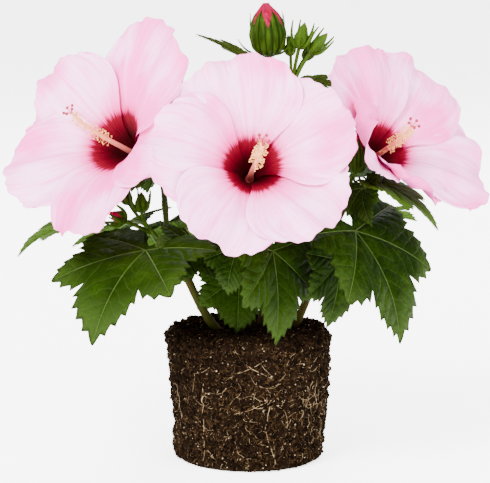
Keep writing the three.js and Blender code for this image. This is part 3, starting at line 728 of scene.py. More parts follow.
class HibiscusColours(bpy.types.PropertyGroup):
    petal_pale: colour_property("Petal pale", "Palest tint of the petals", (0.97, 0.45, 0.80))
    # A painted highlight, laid on the petals' raised vein ridges.
    petal_light: colour_property("Petal light", "Light ridges of the petals", (0.98, 0.67, 0.90))
    petal_pink: colour_property("Petal pink", "Soft pink clouds on the petals", (0.92, 0.11, 0.47))
    petal_flush: colour_property("Petal flush", "Deeper pink of veins and edges", (0.80, 0.09, 0.38))
    petal_back: colour_property("Petal back", "Backs of the petals", (0.80, 0.12, 0.42))
    eye_halo: colour_property("Eye halo", "Bright pink round the eye", (0.72, 0.025, 0.22))
    eye_red: colour_property("Eye red", "Crimson of the eye's edge", (0.135, 0.0, 0.009))
    eye_rim: colour_property("Eye rim", "Brighter crimson where the eye frays", (0.34, 0.0, 0.055))
    eye_dark: colour_property("Eye dark", "Dark red of the throat", (0.030, 0.0, 0.0015))
    column_foot: colour_property("Column foot", "Foot of the staminal column", (0.34, 0.045, 0.045))
    column_middle: colour_property("Column middle", "Middle of the column", (0.66, 0.17, 0.13))
    column_tip: colour_property("Column tip", "Outer part of the column", (0.80, 0.38, 0.18))
    anther: colour_property("Anther", "Pollen on the anthers", (0.84, 0.47, 0.13))
    stigma: colour_property("Stigma", "Round stigmas", (0.25, 0.012, 0.035))
    leaf_dark: colour_property("Leaf dark", "Older leaves", (0.0050, 0.0130, 0.0009))
    leaf_mid: colour_property("Leaf mid", "Fresh leaves", (0.0110, 0.0260, 0.0016))
    leaf_light: colour_property("Leaf light", "Young leaves", (0.034, 0.074, 0.006))
    leaf_under: colour_property("Leaf underside", "Paler underside of the leaves", (0.034, 0.066, 0.009))
    # Also laid over the leaves' outer blades, towards the lobe tips, as a painted highlight.
    vein: colour_property("Vein", "Raised veins of the leaves", (0.055, 0.095, 0.020))
    stem_green: colour_property("Stem green", "Young bark", (0.026, 0.036, 0.0045))
    stem_brown: colour_property("Stem brown", "Older bark", (0.040, 0.019, 0.0055))
    bud_green: colour_property("Bud green", "Sepals and bracts", (0.024, 0.050, 0.0030))
    bud_dark: colour_property("Bud dark", "Shaded sepals", (0.006, 0.015, 0.001))
    bud_tip: colour_property("Bud tip", "Rolled petals at a bud's tip", (0.20, 0.003, 0.030))
    soil: colour_property("Soil", "Peat of the root ball", (0.0020, 0.0011, 0.0006))
    soil_mid: colour_property("Soil crumbs", "Moist crumbs", (0.0105, 0.0055, 0.0026))
    soil_light: colour_property("Soil light", "Drier peat", (0.026, 0.0138, 0.0062))
    bark: colour_property("Bark bits", "Brown bark chips in the soil", (0.058, 0.031, 0.012))
    grit: colour_property("Grit", "Pale perlite in the soil", (0.46, 0.36, 0.24))
    root: colour_property("Roots", "Fine pale roots", (0.31, 0.225, 0.125))
    floor: colour_property("Floor", "Pale floor", (0.96, 0.96, 0.96))


def size_property(name, description, default, highest):
    """A small length in metres."""
    return bpy.props.FloatProperty(
        name=name, description=description, default=default, min=0, max=highest, unit="LENGTH",
        subtype="DISTANCE", precision=4)


def number_property(name, description, default, highest):
    return bpy.props.FloatProperty(name=name, description=description, default=default, min=0, max=highest)


class HibiscusSizes(bpy.types.PropertyGroup):
    tooth: number_property("Leaf tooth", "Depth of a leaf's teeth as a share of its length", 0.058, 0.12)
    quilt: size_property("Leaf quilting", "How far a leaf puffs up beside its main veins", 0.0016, 0.005)
    ruffle: size_property("Petal ruffle", "Height of the waves on a petal's edge", 0.0034, 0.008)
    pleat: size_property("Petal pleats", "Height of the broad pleats along a petal", 0.0019, 0.004)
    crumbs: number_property("Soil crumbs", "Crumbs on each square metre of the root ball", 150000, 300000)
    fibres: number_property("Soil fibres", "Fibres on each square metre of the root ball", 66000, 300000)
    roots: bpy.props.IntProperty(
        name="Roots", description="Number of fine roots on the root ball", default=120, min=0, max=400)
    anthers: number_property("Anthers", "Anthers on each square metre of a column", 330000, 800000)


def plant_settings():
    scene = bpy.context.scene
    return scene.hibiscus_colours, scene.hibiscus_sizes


# ---- root ball -------------------------------------------------------------------------------------------

def wall_radius(height):
    return ROOT_BALL["foot"] + (ROOT_BALL["top"] - ROOT_BALL["foot"]) * height / ROOT_BALL["height"]


def lump_at(around, height):
    """How far the ball swells at an angle and a height."""
    swell = 0.5 * np.sin(3 * around + height / 17) + 0.3 * np.sin(7 * around - height / 9)
    return ROOT_BALL["lump"] * swell


# The crumbly surface as layers of lumps: how broad the lumps of each layer are, and how high.
CRUMBLE = [(9.0, 2.0), (3.4, 2.7), (1.5, 1.5)]


def crumble(where):
    """Height of the crumbly surface at a place, in millimetres."""
    return 0.5 + sum(depth * noise.noise(Vector(where) / size) for size, depth in CRUMBLE)


BALL_SIDES, WALL_ROWS, SHOULDER_ROWS, TOP_ROWS = 250, 68, 12, 24


def root_ball_mesh():
    """The ball's foot, wall, shoulder and top as rings, crumbled along their normals above the foot."""
    height, shoulder, foot_round = ROOT_BALL["height"], ROOT_BALL["shoulder"], ROOT_BALL["foot_round"]
    outline = [(share * (ROOT_BALL["foot"] - foot_round), 0.0) for share in (0.3, 0.6, 0.85, 1.0)]
    outline += [(wall_radius(z), z) for z in np.linspace(foot_round, height - shoulder, WALL_ROWS)]
    for turn in np.linspace(0, math.pi / 2, SHOULDER_ROWS)[1:]:
        outline.append((wall_radius(height) - shoulder * (1 - math.cos(turn)),
                        height - shoulder + shoulder * math.sin(turn)))
    outline += [(radius, height) for radius in np.linspace(ROOT_BALL["top"] - shoulder, 3, TOP_ROWS)[1:]]
    rings = []
    for radius, z in outline:
        level = smooth_step(z, height - shoulder, height)
        ring = []
        for around in np.arange(BALL_SIDES) * 2 * math.pi / BALL_SIDES:
            here = radius + (lump_at(around, z) if foot_round <= z < height - 0.1 else 0)
            out = place(math.sin(around), -math.cos(around), 0)
            spot = out * here + place(0, 0, z)
            if z > foot_round:
                spot = spot + (out * (1 - level) + place(0, 0, level)) * crumble(spot)
            ring.append(spot)
        rings.append(ring)
    rings = np.array(rings)
    return closed_rings(rings, [0, 0, 0], rings[-1].mean(axis=0))


ROOT_STEP = 2.5  # between the places of a root's path, in millimetres
SHORTEST_PATH = 4  # places
ROOT_MARGINS = (3, 6)  # from the ball's foot and its top, where a root turns out of sight


def root_path(random, start, heading, length, wander):
    """A root's path over the wall, from an angle and a height along a heading on that wall."""
    around, height = start
    path, bend = [], 0
    for _ in range(int(length / ROOT_STEP)):
        bend = 0.75 * bend + wander * (next(random) - 0.5)
        heading += bend + 0.4 * wander * (next(random) - 0.5)
        around += ROOT_STEP * math.sin(heading) / wall_radius(height)
        height -= ROOT_STEP * math.cos(heading)
        if not ROOT_MARGINS[0] < height < ROOT_BALL["height"] - ROOT_MARGINS[1]:
            break
        radius = wall_radius(height) + lump_at(around, height)
        depth = crumble((math.sin(around) * radius, -math.cos(around) * radius, height))
        path.append((around, radius + depth + 0.3 + 0.4 * next(random), height))
    if len(path) < SHORTEST_PATH:
        return []
    around, radius, height = np.array(path).T
    level = np.convolve(np.pad(radius, 1, mode="edge"), np.ones(3) / 3, mode="valid")
    radius = np.maximum(level, radius)
    return np.stack([np.sin(around) * radius, -np.cos(around) * radius, height], axis=1)


# The boldest roots: angle, height, heading from straight down, length, radius before ROOT_GIRTH, and bend.
BOLD_ROOTS = [
    (-34, 78, 0, 72, 0.75, 0.03),
    (15, 60, -8, 24, 0.7, 0.05),
    (12, 38, 12, 34, 0.7, 0.05),
    (-2, 94, 52, 26, 0.7, 0.05),
    (15, 64, -52, 34, 0.6, 0.06),
    (12, 98, -62, 32, 0.5, 0.1),
    (-5, 54, 44, 13, 0.6, 0.05),
    (36, 62, -62, 26, 0.6, 0.25),
    (58, 96, -52, 22, 0.6, 0.3),
    (36, 102, -80, 18, 0.6, 0.3),
    (-66, 72, 12, 34, 0.6, 0.15),
    (-35, 18, 62, 22, 0.6, 0.3),
    (34, 46, -40, 14, 0.5, 0.1),
    (46, 78, 2, 36, 0.5, 0.2),
    (52, 80, 4, 40, 0.5, 0.2),
    (57, 76, -6, 34, 0.45, 0.25),
    (63, 78, 6, 36, 0.45, 0.2),
    (42, 70, 14, 30, 0.4, 0.3),
    (150, 90, 10, 80, 0.7, 0.2),
    (200, 84, -20, 70, 0.65, 0.2),
    (105, 88, 22, 70, 0.6, 0.2),
    (-110, 92, -12, 76, 0.65, 0.2),
]


ROOT_GIRTH = 0.42  # thins the boldest roots together
ROOT_SEED = 41
FINE_ROOT_RADII = (0.17, 0.09)


def grow_roots(count):
    pile = Pile()
    random = seeded(ROOT_SEED)
    for around, height, heading, length, radius, wander in BOLD_ROOTS:
        start = (math.radians(around), height)
        path = root_path(random, start, math.radians(heading), length, wander)
        pile.add(tube(path, np.linspace(radius, radius * 0.5, len(path)) * ROOT_GIRTH, 6))
    for _ in range(count):
        start = (next(random) * 2 * math.pi, 12 + 88 * next(random))
        heading = (next(random) - 0.5) * 2.6
        length = 12 + 26 * next(random)
        path = root_path(random, start, heading, length, 0.7)
        if len(path):
            pile.add(tube(path, np.linspace(*FINE_ROOT_RADII, len(path)), 4))
    return pile


# A kind of grain's part, finish, share of the density, sizes and the map of where it lies.
CRUMBS = {
    "crumbs": (pebble(3), "crumb", 0.5, (0.6, 1.9), "everywhere"),
    "dark_crumbs": (pebble(4, (1, 0.8, 0.7)), "soil", 0.22, (0.9, 2.5), "everywhere"),
    "clods": (pebble(6, (1, 0.85, 0.8), 0.8), "crumb", 0.16, (1.6, 3.4), "edges"),
    "peat": (pebble(5, (1, 0.6, 0.5)), "peat", 0.4, (0.45, 1.35), "dry"),
    "bark": (pebble(7, (1.6, 0.5, 0.35)), "bark", 0.25, (0.4, 1.05), "dry"),
    "grit": (pebble(9), "grit", 0.06, (0.3, 0.85), "dry"),
    "chunks": (pebble(12, (1, 0.8, 0.6), 0.7), "peat", 0.12, (1.0, 2.3), "everywhere"),
}
FIBRES = {
    "fibres": (fibre(3), "bark", 1, (0.5, 1.25), "dry"),
    "pale_fibres": (fibre(6, 5.0, 0.13), "root", 0.45, (0.35, 1.0), "dry"),
}
ANY_WAY_UP, LYING_FLAT = 3.0, 0.3  # how far a grain tumbles, in radians
FIRST_GRAIN_SEED = 11


class HIBISCUS_OT_root_ball(bpy.types.Operator):
    """Builds the root ball with its crumbs, fibres, grit and roots"""
    bl_idname = "hibiscus.root_ball"
    bl_label = "Root Ball"

    def execute(self, context):
        colours, sizes = plant_settings()
        dull = {"Specular_IOR_Level": 0.015}
        finishes = {
            "soil": mottled("soil", colours.soil, colours.soil_mid, 160, 0.95, 0.9, 0.002, **dull),
            "crumb": mottled("soil_crumb", colours.soil_mid, colours.soil, 240, 0.95, **dull),
            "peat": mottled("peat", colours.soil_light, colours.soil_mid, 300, 0.95, **dull),
            "bark": mottled("bark", colours.bark, colours.soil_light, 300, 0.9, **dull),
            "grit": mottled("grit", colours.grit, colours.bark, 500, 0.8),
            "root": mottled("root", colours.root, colours.bark, 260, 0.8),
        }
        pile = Pile()
        pile.add(root_ball_mesh())
        ball = pile.build("root_ball_soil", [finishes["soil"]], "soil", ["root_ball"])
        heights = np.array([vertex.co.z for vertex in ball.data.vertices]) / MM
        everywhere = np.clip((heights - 1.2) / 2, 0, 1)
        maps = {
            "everywhere": everywhere,
            "dry": everywhere * (1 + 0.2 * smooth_step(heights, 92, 108)),
            "edges": smooth_step(heights, 88, 104) + 0.8 * (heights > 3) * (heights < 9),
        }
        seed = FIRST_GRAIN_SEED
        groups = ((CRUMBS, sizes.crumbs, ANY_WAY_UP), (FIBRES, sizes.fibres, LYING_FLAT))
        for kinds, density, tumble in groups:
            for kind, (part, finish, share, spread, where) in kinds.items():
                name = "root_ball_" + kind
                grain = grain_object(name + "_grain", part)
                scatter(name, ball.data, maps[where], grain, finishes[finish], density * share, spread,
                        tumble, seed)
                bpy.data.objects.remove(grain)
                seed += 1
        grow_roots(sizes.roots).build("root_ball_roots", [finishes["root"]], "soil")
        return {"FINISHED"}


# ---- stems -----------------------------------------------------------------------------------------------

def stem_run(name):
    """A stem's run from below the soil to its tip, and its two radii."""
    foot, tip, leave, arrive, radii = STEMS[name]
    start = place(*foot, ROOT_BALL["height"] - SUNK)
    return Run(start, place(*tip), direction(*leave), direction(*arrive)), radii


def stem_end(name):
    """The place just clear of a stem's tip, and the stem's direction there."""
    run, _ = stem_run(name)
    tangent = run.tangent(1)
    return run.point(1) + tangent * (CLEARANCE + 0.1), tangent


BARK_ROWS, BARK_SIDES = 70, 20
BARK_RELIEF = 0.16
BARK_JOINTS = 27  # from one swollen joint to the next


def barked(path, low, high, seed):
    """Radii of a limb with long shallow ridges and a swollen joint every few centimetres."""
    turns = np.arange(BARK_SIDES) * 2 * math.pi / BARK_SIDES
    shares = np.linspace(0, 1, len(path))[:, None]
    length = np.linalg.norm(np.diff(path, axis=0), axis=1).sum()
    radii = low + (high - low) * shares + BARK_RELIEF * np.sin(5 * turns + seed + 3 * shares)
    radii = radii + 0.5 * BARK_RELIEF * np.sin(11 * turns - 7 * shares * length / 20 + seed)
    joints = np.abs(((shares * length / BARK_JOINTS + seed * 0.37) % 1) - 0.5)
    return radii + 0.45 * np.exp(-((joints / 0.06) ** 2))


class HIBISCUS_OT_stems(bpy.types.Operator):
    """Builds the stems with their bark"""
    bl_idname = "hibiscus.stems"
    bl_label = "Stems"

    def execute(self, context):
        colours, _ = plant_settings()
        green = mottled("stem", colours.stem_green, colours.stem_brown, 90, 0.6, 0.6, 0.0006, (1, 1, 0.3),
                        Specular_IOR_Level=0.02)
        for seed, name in enumerate(STEMS):
            run, (low, high) = stem_run(name)
            path = run.point(np.linspace(0, 1, BARK_ROWS))
            pile = Pile()
            pile.add(tube(path, barked(path, low, high, seed), BARK_SIDES))
            pile.build(name + "_bark", [green], "stem", [name])
        return {"FINISHED"}


# ---- leaves ----------------------------------------------------------------------------------------------

def polar(angle, share):
    return np.array([math.cos(math.radians(angle)), math.sin(math.radians(angle))]) * share


# The stretches of half an edge, tip to stalk: whether it leads away from a lobe's tip, its bulge, how many
# teeth it has and their depth.
EDGES = [(True, 0.20, 5, 1.0), (False, 0.15, 3, 0.9), (True, 0.17, 4, 0.9), (False, 0.12, 3, 0.8),
         (True, 0.15, 4, 0.8), (False, 0.22, 3, 0.4)]
# A tooth as (share of its length, share of its height), on a stretch that leads away from a lobe's tip and
# on one that leads towards a tip.
TEETH = {True: ((0, 0), (0.16, 1), (0.5, 0.45)), False: ((0, 0), (0.5, 0.45), (0.84, 1))}


def leaf_outline(tooth):
    """The blade's toothed edge, down one side to the stalk and back up, as shares of its length."""
    corners = [polar(*corner) for pair in zip(BLADE["tips"], BLADE["sinuses"]) for corner in pair]
    lobe, notch = corners[-2], corners[-1]
    chord = notch - lobe
    corners.insert(-1, lobe + chord / 2 + np.array([chord[1], -chord[0]]) * BLADE["foot_bulge"])
    half = []
    for (leaves_tip, bulge, teeth, depth), start, end in zip(EDGES, corners, corners[1:]):
        along = end - start
        out = np.array([along[1], -along[0]]) / np.linalg.norm(along)
        if (start + along / 2).dot(out) < 0:
            out = -out
        for number in range(teeth):
            for share, height in TEETH[leaves_tip]:
                t = (number + share) / teeth
                from_tip = t if leaves_tip else 1 - t
                swell = bulge * np.linalg.norm(along) * math.sin(math.pi * t) * (from_tip - 0.12) * 1.4
                fade = min(1, 5 * from_tip)
                half.append(start + along * t + out * (swell + tooth * depth * height * fade))
    mirrored = [point * (1, -1) for point in half[:0:-1]]
    return np.array(half + [corners[-1]] + mirrored)


def leaf_veins():
    """The main vein of each lobe, as flat runs of places."""
    lobes = list(BLADE["tips"]) + [(-angle, share) for angle, share in BLADE["tips"][1:]]
    return [np.linspace(np.zeros(2), polar(angle, share * 0.97), 14) for angle, share in lobes]


def bow(distance, bend):
    """Reach and fall of a place a distance out along a strip that bends evenly."""
    turn = distance * bend
    return np.sin(turn) / bend, (1 - np.cos(turn)) / bend


def blade_frame(one):
    """A blade's directions along its midrib, across it and out of its face."""
    along = direction(one["heading"], one["pitch"])
    h, r = math.radians(one["heading"]), math.radians(one["roll"])
    level = place(math.cos(h), math.sin(h), 0)
    face = np.cross(along, level)
    return along, level * math.cos(r) - face * math.sin(r), face * math.cos(r) + level * math.sin(r)


def on_blade(one, flat, lift):
    """Places on a blade from their flat shares and their height over its middle surface."""
    along, out, up = blade_frame(one)
    size = one["length"]
    side = flat[..., 1] * one["width"] * size
    reach, fall = bow(flat[..., 0] * size, math.radians(one["droop"]) / size)
    spread, sag = bow(side, math.radians(BLADE["side_droop"]) / size)
    rise = BLADE["fold"] * np.abs(side) - fall - sag + lift
    return one["joint"] + reach[..., None] * along + spread[..., None] * out + rise[..., None] * up


def vein_distance(flat, veins):
    """Distance from each flat place to the nearest vein, as a share of the blade's length."""
    nearest = np.full(flat.shape[:-1], 9.0)
    for run in veins:
        start, along = run[0], run[-1] - run[0]
        t = np.clip(((flat - start) @ along) / along.dot(along), 0, 1)
        nearest = np.minimum(nearest, np.linalg.norm(flat - start - t[..., None] * along, axis=-1))
    return nearest


def blade_waves(flat, one):
    """Slow waves of a blade's margin, different for each leaf."""
    angle = np.arctan2(flat[..., 1], flat[..., 0])
    share = np.clip(np.linalg.norm(flat, axis=-1), 0, 1)
    start = one["heading"] + one["length"]
    waves = np.sin(4 * angle + start) + 0.7 * np.sin(9 * angle - 2 * start)
    return 0.016 * one["length"] * waves * share ** 2.2


def stalk_run(one, twig):
    """A leaf's stalk, from the twig's middle into the foot of the blade."""
    along, _, up = blade_frame(one)
    root = twig.point(one["at"])
    end = one["joint"] + along * 3 - up * 0.3
    leave = unit(unit(end - root) + place(0, 0, 0.5))
    return Run(root, end, leave, along)


def twig_run(stem, at, heading, reach, rise):
    """A twig, from just clear of its stem's side out along its heading."""
    run, (low, high) = stem_run(stem)
    away, tangent = direction(heading, 0), run.tangent(at)
    side = unit(away - tangent * away.dot(tangent))
    root = run.point(at) + side * (low + (high - low) * at + CLEARANCE + 0.2)
    aim = direction(heading, rise)
    return Run(root, root + aim * reach, side, aim)


def ruled_leaf(heading, more, twig, index, random):
    """One of a rule's leaves, a golden angle on from the one before."""
    count, _, length, spread = more

    def draw(limits):
        return limits[0] + (limits[1] - limits[0]) * next(random)

    at = 0.3 + 0.7 * (index + 1) / count
    turn = (((GOLDEN_ANGLE * index + 180) % 360) - 180) * spread / 180
    own = heading + turn + draw(RULE["swing"])
    rise = draw(RULE["stalk_rise"])
    joint = twig.point(at) + direction(own, rise) * draw(RULE["stalk"])
    pitch, roll = draw(RULE["pitch"]), draw(RULE["roll"])
    size, droop = draw(length), draw(RULE["droop"])
    return leaf(at, joint, own, pitch, roll, size, droop)


def solid_corners(node):
    """Finds the nearest of a solid's corners, in millimetres."""
    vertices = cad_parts[node].data.vertices
    tree = kdtree.KDTree(len(vertices))
    for index, vertex in enumerate(vertices):
        tree.insert(vertex.co / MM, index)
    tree.balance()
    return tree


TIP_MATCH = 0.5  # how near to a solid's corner a leaf's tip has to be, in millimetres


def mass_leaves(name):
    """The mass's twig and posed leaves, then the ruled leaves whose tips its solid has."""
    stem, at, heading, reach, rise, posed, more = MASSES[name]
    twig = twig_run(stem, at, heading, reach, rise)
    leaves = list(posed)
    if not more:
        return twig, leaves
    corners = solid_corners(name)
    random = seeded(more[1])
    for index in range(more[0]):
        for _ in range(RULE["tries"]):
            one = ruled_leaf(heading, more, twig, index, random)
            tip = on_blade(one, np.array([1.0, 0.0]), BLADE["thickness"] / 2)
            if corners.find(Vector(tip))[2] < TIP_MATCH:
                leaves.append(one)
                break
    return twig, leaves


YOUNG_LEAVES = {("left_outer_foliage", 0), ("right_outer_foliage", 0), ("top_foliage", 0)}
YOUNG, UNDERSIDE = 2, 3  # finishes of a blade after the two older ones
BLADE_HALF = 0.42  # half of a blade's thickness at its middle
VEIN_SIDES = 5
TWIG_ROWS, STALK_ROWS = 16, 22
STALK_FOOT = (1.35, 1.2, 1.05)  # how much wider a stalk's first places are


class Foliage:
    """Gathers the blades, veins and stalks of a group of masses."""

    def __init__(self, sizes):
        self.blades, self.veins, self.stalks = Pile(), Pile(), Pile()
        self.outline = leaf_outline(sizes.tooth)
        self.vein_runs = leaf_veins()
        self.quilt = sizes.quilt / MM
        shares = np.concatenate([[0.03], np.linspace(0.1, 1, 12)])
        self.flat = shares[:, None, None] * self.outline[None]
        self.distance = vein_distance(self.flat, self.vein_runs)
        self.shares = shares

    def lift(self, one, flat, distance):
        """Height over the blade's middle surface: puffed up away from the veins, and waved."""
        puff = self.quilt * one["length"] / 90 * (1 - np.exp(-((distance / 0.028) ** 2)))
        return puff + blade_waves(flat, one)

    def add_blade(self, one, tint):
        count, sides = self.flat.shape[:2]
        lift = self.lift(one, self.flat, self.distance)
        half = BLADE_HALF * np.sqrt(np.clip(1 - self.shares, 0, 1))[:, None]
        top = on_blade(one, self.flat, lift + half)
        bottom = on_blade(one, self.flat, lift - half)[-2::-1]
        rings = np.concatenate([top, bottom])
        part = closed_rings(rings, top[0].mean(axis=0), bottom[-1].mean(axis=0))
        flat = np.concatenate([self.flat, self.flat[-2::-1]]).reshape(-1, 2)
        uv = np.concatenate([flat, np.zeros((2, 2))])
        shell = (count - 1) * sides
        finishes = [tint] * shell + [UNDERSIDE] * shell + [tint, UNDERSIDE] * sides
        self.blades.add(part, finishes, uv)
        for run in self.vein_runs:
            radii = np.linspace(1, 0.3, len(run)) * max(0.0062 * one["length"], 0.2)
            height = self.lift(one, run, np.zeros(len(run))) + 0.4
            self.veins.add(tube(on_blade(one, run, height), radii, VEIN_SIDES))
            self.veins.add(tube(on_blade(one, run, height - 0.9), radii * 1.4, VEIN_SIDES))

    def add_mass(self, name):
        twig, leaves = mass_leaves(name)
        path = twig.point(np.linspace(0, 1, TWIG_ROWS))
        self.stalks.add(tube(path, np.linspace(TWIG_RADIUS, TWIG_RADIUS * 0.7, TWIG_ROWS), 10))
        for index, one in enumerate(leaves):
            path = stalk_run(one, twig).point(np.linspace(0, 1, STALK_ROWS))
            radii = np.linspace(STALK_RADIUS * 1.1, STALK_RADIUS * 0.8, STALK_ROWS)
            radii[:3] *= STALK_FOOT
            self.stalks.add(tube(path, radii, 8))
            young = (name, index) in YOUNG_LEAVES
            self.add_blade(one, YOUNG if young else int(one["length"] + one["heading"]) % 2)


LEAF_GROUPS = {
    "front_leaves": ["left_front_foliage", "front_foliage", "right_front_foliage"],
    "side_leaves": ["left_outer_foliage", "right_outer_foliage", "top_foliage", "top_right_foliage"],
    "back_leaves": ["middle_foliage", "back_left_foliage", "back_right_foliage"],
    "upper_leaves": ["upper_left_foliage", "upper_right_foliage"],
}


class HIBISCUS_OT_foliage(bpy.types.Operator):
    """Grows the twigs, stalks and toothed leaves of every mass"""
    bl_idname = "hibiscus.foliage"
    bl_label = "Foliage"

    def execute(self, context):
        colours, sizes = plant_settings()
        tints = [
            leaf_finish("leaf_dark", colours.leaf_dark, colours.leaf_mid, colours.vein, 0.34),
            leaf_finish("leaf_mid", colours.leaf_mid, colours.leaf_dark, colours.vein, 0.34),
            leaf_finish("leaf_light", colours.leaf_light, colours.leaf_mid, colours.vein, 0.45, 0.6),
            leaf_finish("leaf_under", colours.leaf_under, colours.leaf_light, colours.vein, 0.6, 0.5),
        ]
        vein = mottled("leaf_vein", colours.vein, colours.leaf_light, 80, 0.45)
        stalk = mottled("leaf_stalk", colours.leaf_light, colours.stem_green, 90, 0.5)
        for group, names in LEAF_GROUPS.items():
            foliage = Foliage(sizes)
            for name in names:
                foliage.add_mass(name)
            foliage.blades.build(group, tints, "leaf", names)
            foliage.veins.build(group + "_veins", [vein], "leaf")
            foliage.stalks.build(group + "_stalks", [stalk], "leaf")
        return {"FINISHED"}


# ---- blooms ----------------------------------------------------------------------------------------------

PETAL_ROWS, PETAL_COLUMNS = 56, 61
PETAL_HALF = 0.25  # half of a petal's thickness
UNROLLED = (0.95, 0)  # the roll of a petal that isn't furled
FLATTEST_TURN = 0.02  # keeps the arc of such a petal finite


class Bloom:
    """A bloom's own directions, and places on its corolla."""

    def __init__(self, name):
        self.__dict__.update(BLOOMS[name])
        heading = math.radians(self.heading)
        self.axis = direction(self.heading, self.rise)
        self.right = place(math.cos(heading), math.sin(heading), 0)
        self.up = np.cross(self.axis, self.right)
        self.foot = place(*self.eye) - self.axis * EYE_RISE
        self.seed = len(name)

    def place(self, around, radius, height):
        return round_place(self.foot, (self.right, self.up, self.axis), around, radius, height)

    def on_corolla(self, around, radius, offset):
        """Places a distance off the funnel's surface, measured square to it."""
        c = COROLLA
        share = radius / self.radius
        throat = np.exp(-(radius - c["throat"]) / c["flare"])
        wave = sum(size * np.cos(turns * around - math.radians(start)) for turns, size, start in self.waves)
        height = (c["depth"] * (1 - throat) + c["lift"] * share - c["recurve"] * share ** 3
                  + wave * share ** 2)
        outer_slope = (c["lift"] - 3 * c["recurve"] * share ** 2) / self.radius
        slope = (c["depth"] / c["flare"]) * throat + outer_slope
        norm = np.hypot(slope, 1)
        return self.place(around, radius - offset * slope / norm, height + offset / norm)

    def ruffle(self, around, share, size):
        """Waves of the rim, the same for every petal so that overlapping edges move together."""
        rim = smooth_step(share, 0.55, 1.05)
        waves = (np.sin(11 * around + self.seed) + 0.8 * np.sin(17 * around + 2.2 * self.seed)
                 + 0.5 * np.sin(29 * around - self.seed))
        return size * rim ** 1.5 * waves * 0.55

    def petal_spread(self, index, longest, across, along):
        """A petal's radius and turn off its middle at each place, and its reach at each place across."""
        c = COROLLA
        rim_width, squareness = self.broad.get(index, self.rim)
        nibble = 0.012 * np.sin(13 * across + 3 * index + self.seed) + 0.008 * np.sin(31 * across + index)
        reach = self.radius * longest * (1 - c["corner_drop"] * np.abs(across) ** 2.4 + nibble)
        radius = c["throat"] + (reach - c["throat"]) * along
        broad = smooth_step(radius, c["throat"], self.radius * 0.55)
        narrowing = 1 - (1 - rim_width) * along ** squareness
        turn = across * np.radians(c["claw"] + (c["width"] - c["claw"]) * broad) * narrowing
        return radius, turn, reach

    def petal(self, middle, longest, index, ruffle, pleat):
        """A petal as a closed sheet, and its map of (across, radius)."""
        c = COROLLA
        across = np.linspace(-1, 1, PETAL_COLUMNS)[None, :]
        along = np.linspace(0, 1, PETAL_ROWS)[:, None]
        radius, turn, reach = self.petal_spread(index, longest, across, along)
        around = math.radians(middle) + turn
        share = radius / self.radius

        overlap = c["overlap"] * smooth_step(radius, c["overlap_from"], c["overlap_full"])
        ribs = 0.16 * np.sin(across * 31 + 2 * np.sin(6 * across + index)) * smooth_step(share, 0.2, 0.5)
        pleats = np.sin(across * 8 + 1.7 * index + self.seed) + 0.5 * np.sin(across * 15 - 2.3 * index)
        pleats = pleats * smooth_step(share, 0.22, 0.7) * (1 - across ** 4)
        offset = -turn * overlap + ribs + pleat * pleats + self.ruffle(around, share, ruffle)
        curl = 2.2 * smooth_step(along, 0.93, 1.0) * np.sin(5 * across + 2 * index + self.seed)

        # Past the roll's start the petal follows an arc, tighter towards the side that is rolled up.
        start, roll = self.furled.get(index, UNROLLED)
        first = c["throat"] + (reach - c["throat"]) * start
        full = np.maximum(roll * smooth_step(-across, -0.5, 0.5), FLATTEST_TURN)
        arc_radius = (reach - first) / full
        turned = np.clip(radius - first, 0, None) / arc_radius
        level_radius = np.minimum(radius, first)

        def face(lift):
            out = level_radius + (arc_radius - lift) * np.sin(turned)
            rise = arc_radius - (arc_radius - lift) * np.cos(turned)
            return self.on_corolla(around, out, offset + curl + rise)

        flat = np.stack([np.broadcast_to(across / 2 + 0.5, radius.shape), share * 0.8], axis=-1)
        flat = flat.reshape(-1, 2)
        return sheet(face(PETAL_HALF), face(-PETAL_HALF)), np.concatenate([flat, flat])


class HIBISCUS_OT_corollas(bpy.types.Operator):
    """Builds the ruffled petals of the open blooms"""
    bl_idname = "hibiscus.corollas"
    bl_label = "Petals"

    def execute(self, context):
        colours, sizes = plant_settings()
        back = petal_back_finish(colours)
        pale, flushed = petal_finish("petal", colours, 0), petal_finish("petal_flushed", colours, 0.11)
        cells = (PETAL_ROWS - 1) * (PETAL_COLUMNS - 1)
        for name in BLOOMS:
            bloom = Bloom(name)
            for index, (middle, longest) in enumerate(bloom.petals):
                part, uv = bloom.petal(middle, longest, index, sizes.ruffle / MM, sizes.pleat / MM)
                pile = Pile()
                pile.add(part, [0, 1] * cells + [0] * (len(part[1]) - 2 * cells), uv)
                node = f"{name}_petal_{index + 1}"
                front = flushed if index in bloom.flushed else pale
                pile.build(node.replace("_bloom_petal", "_petal"), [front, back], "petal", [node])
        return {"FINISHED"}


CALYX_SIDES = 70
# The cup's radius and height, from the stalk up.
CUP = [(2.4, -15), (4.2, -13.2), (6.2, -10.3), (7.6, -7.4), (8.6, -4.5)]
INNER_RIM = 9  # radius at which the sepals leave the cup
THROAT_FLOOR = (4.5, -1.6)  # radius and height
HALF_PETAL_TURN = 36  # from a petal's middle to the sepal beside it, in degrees


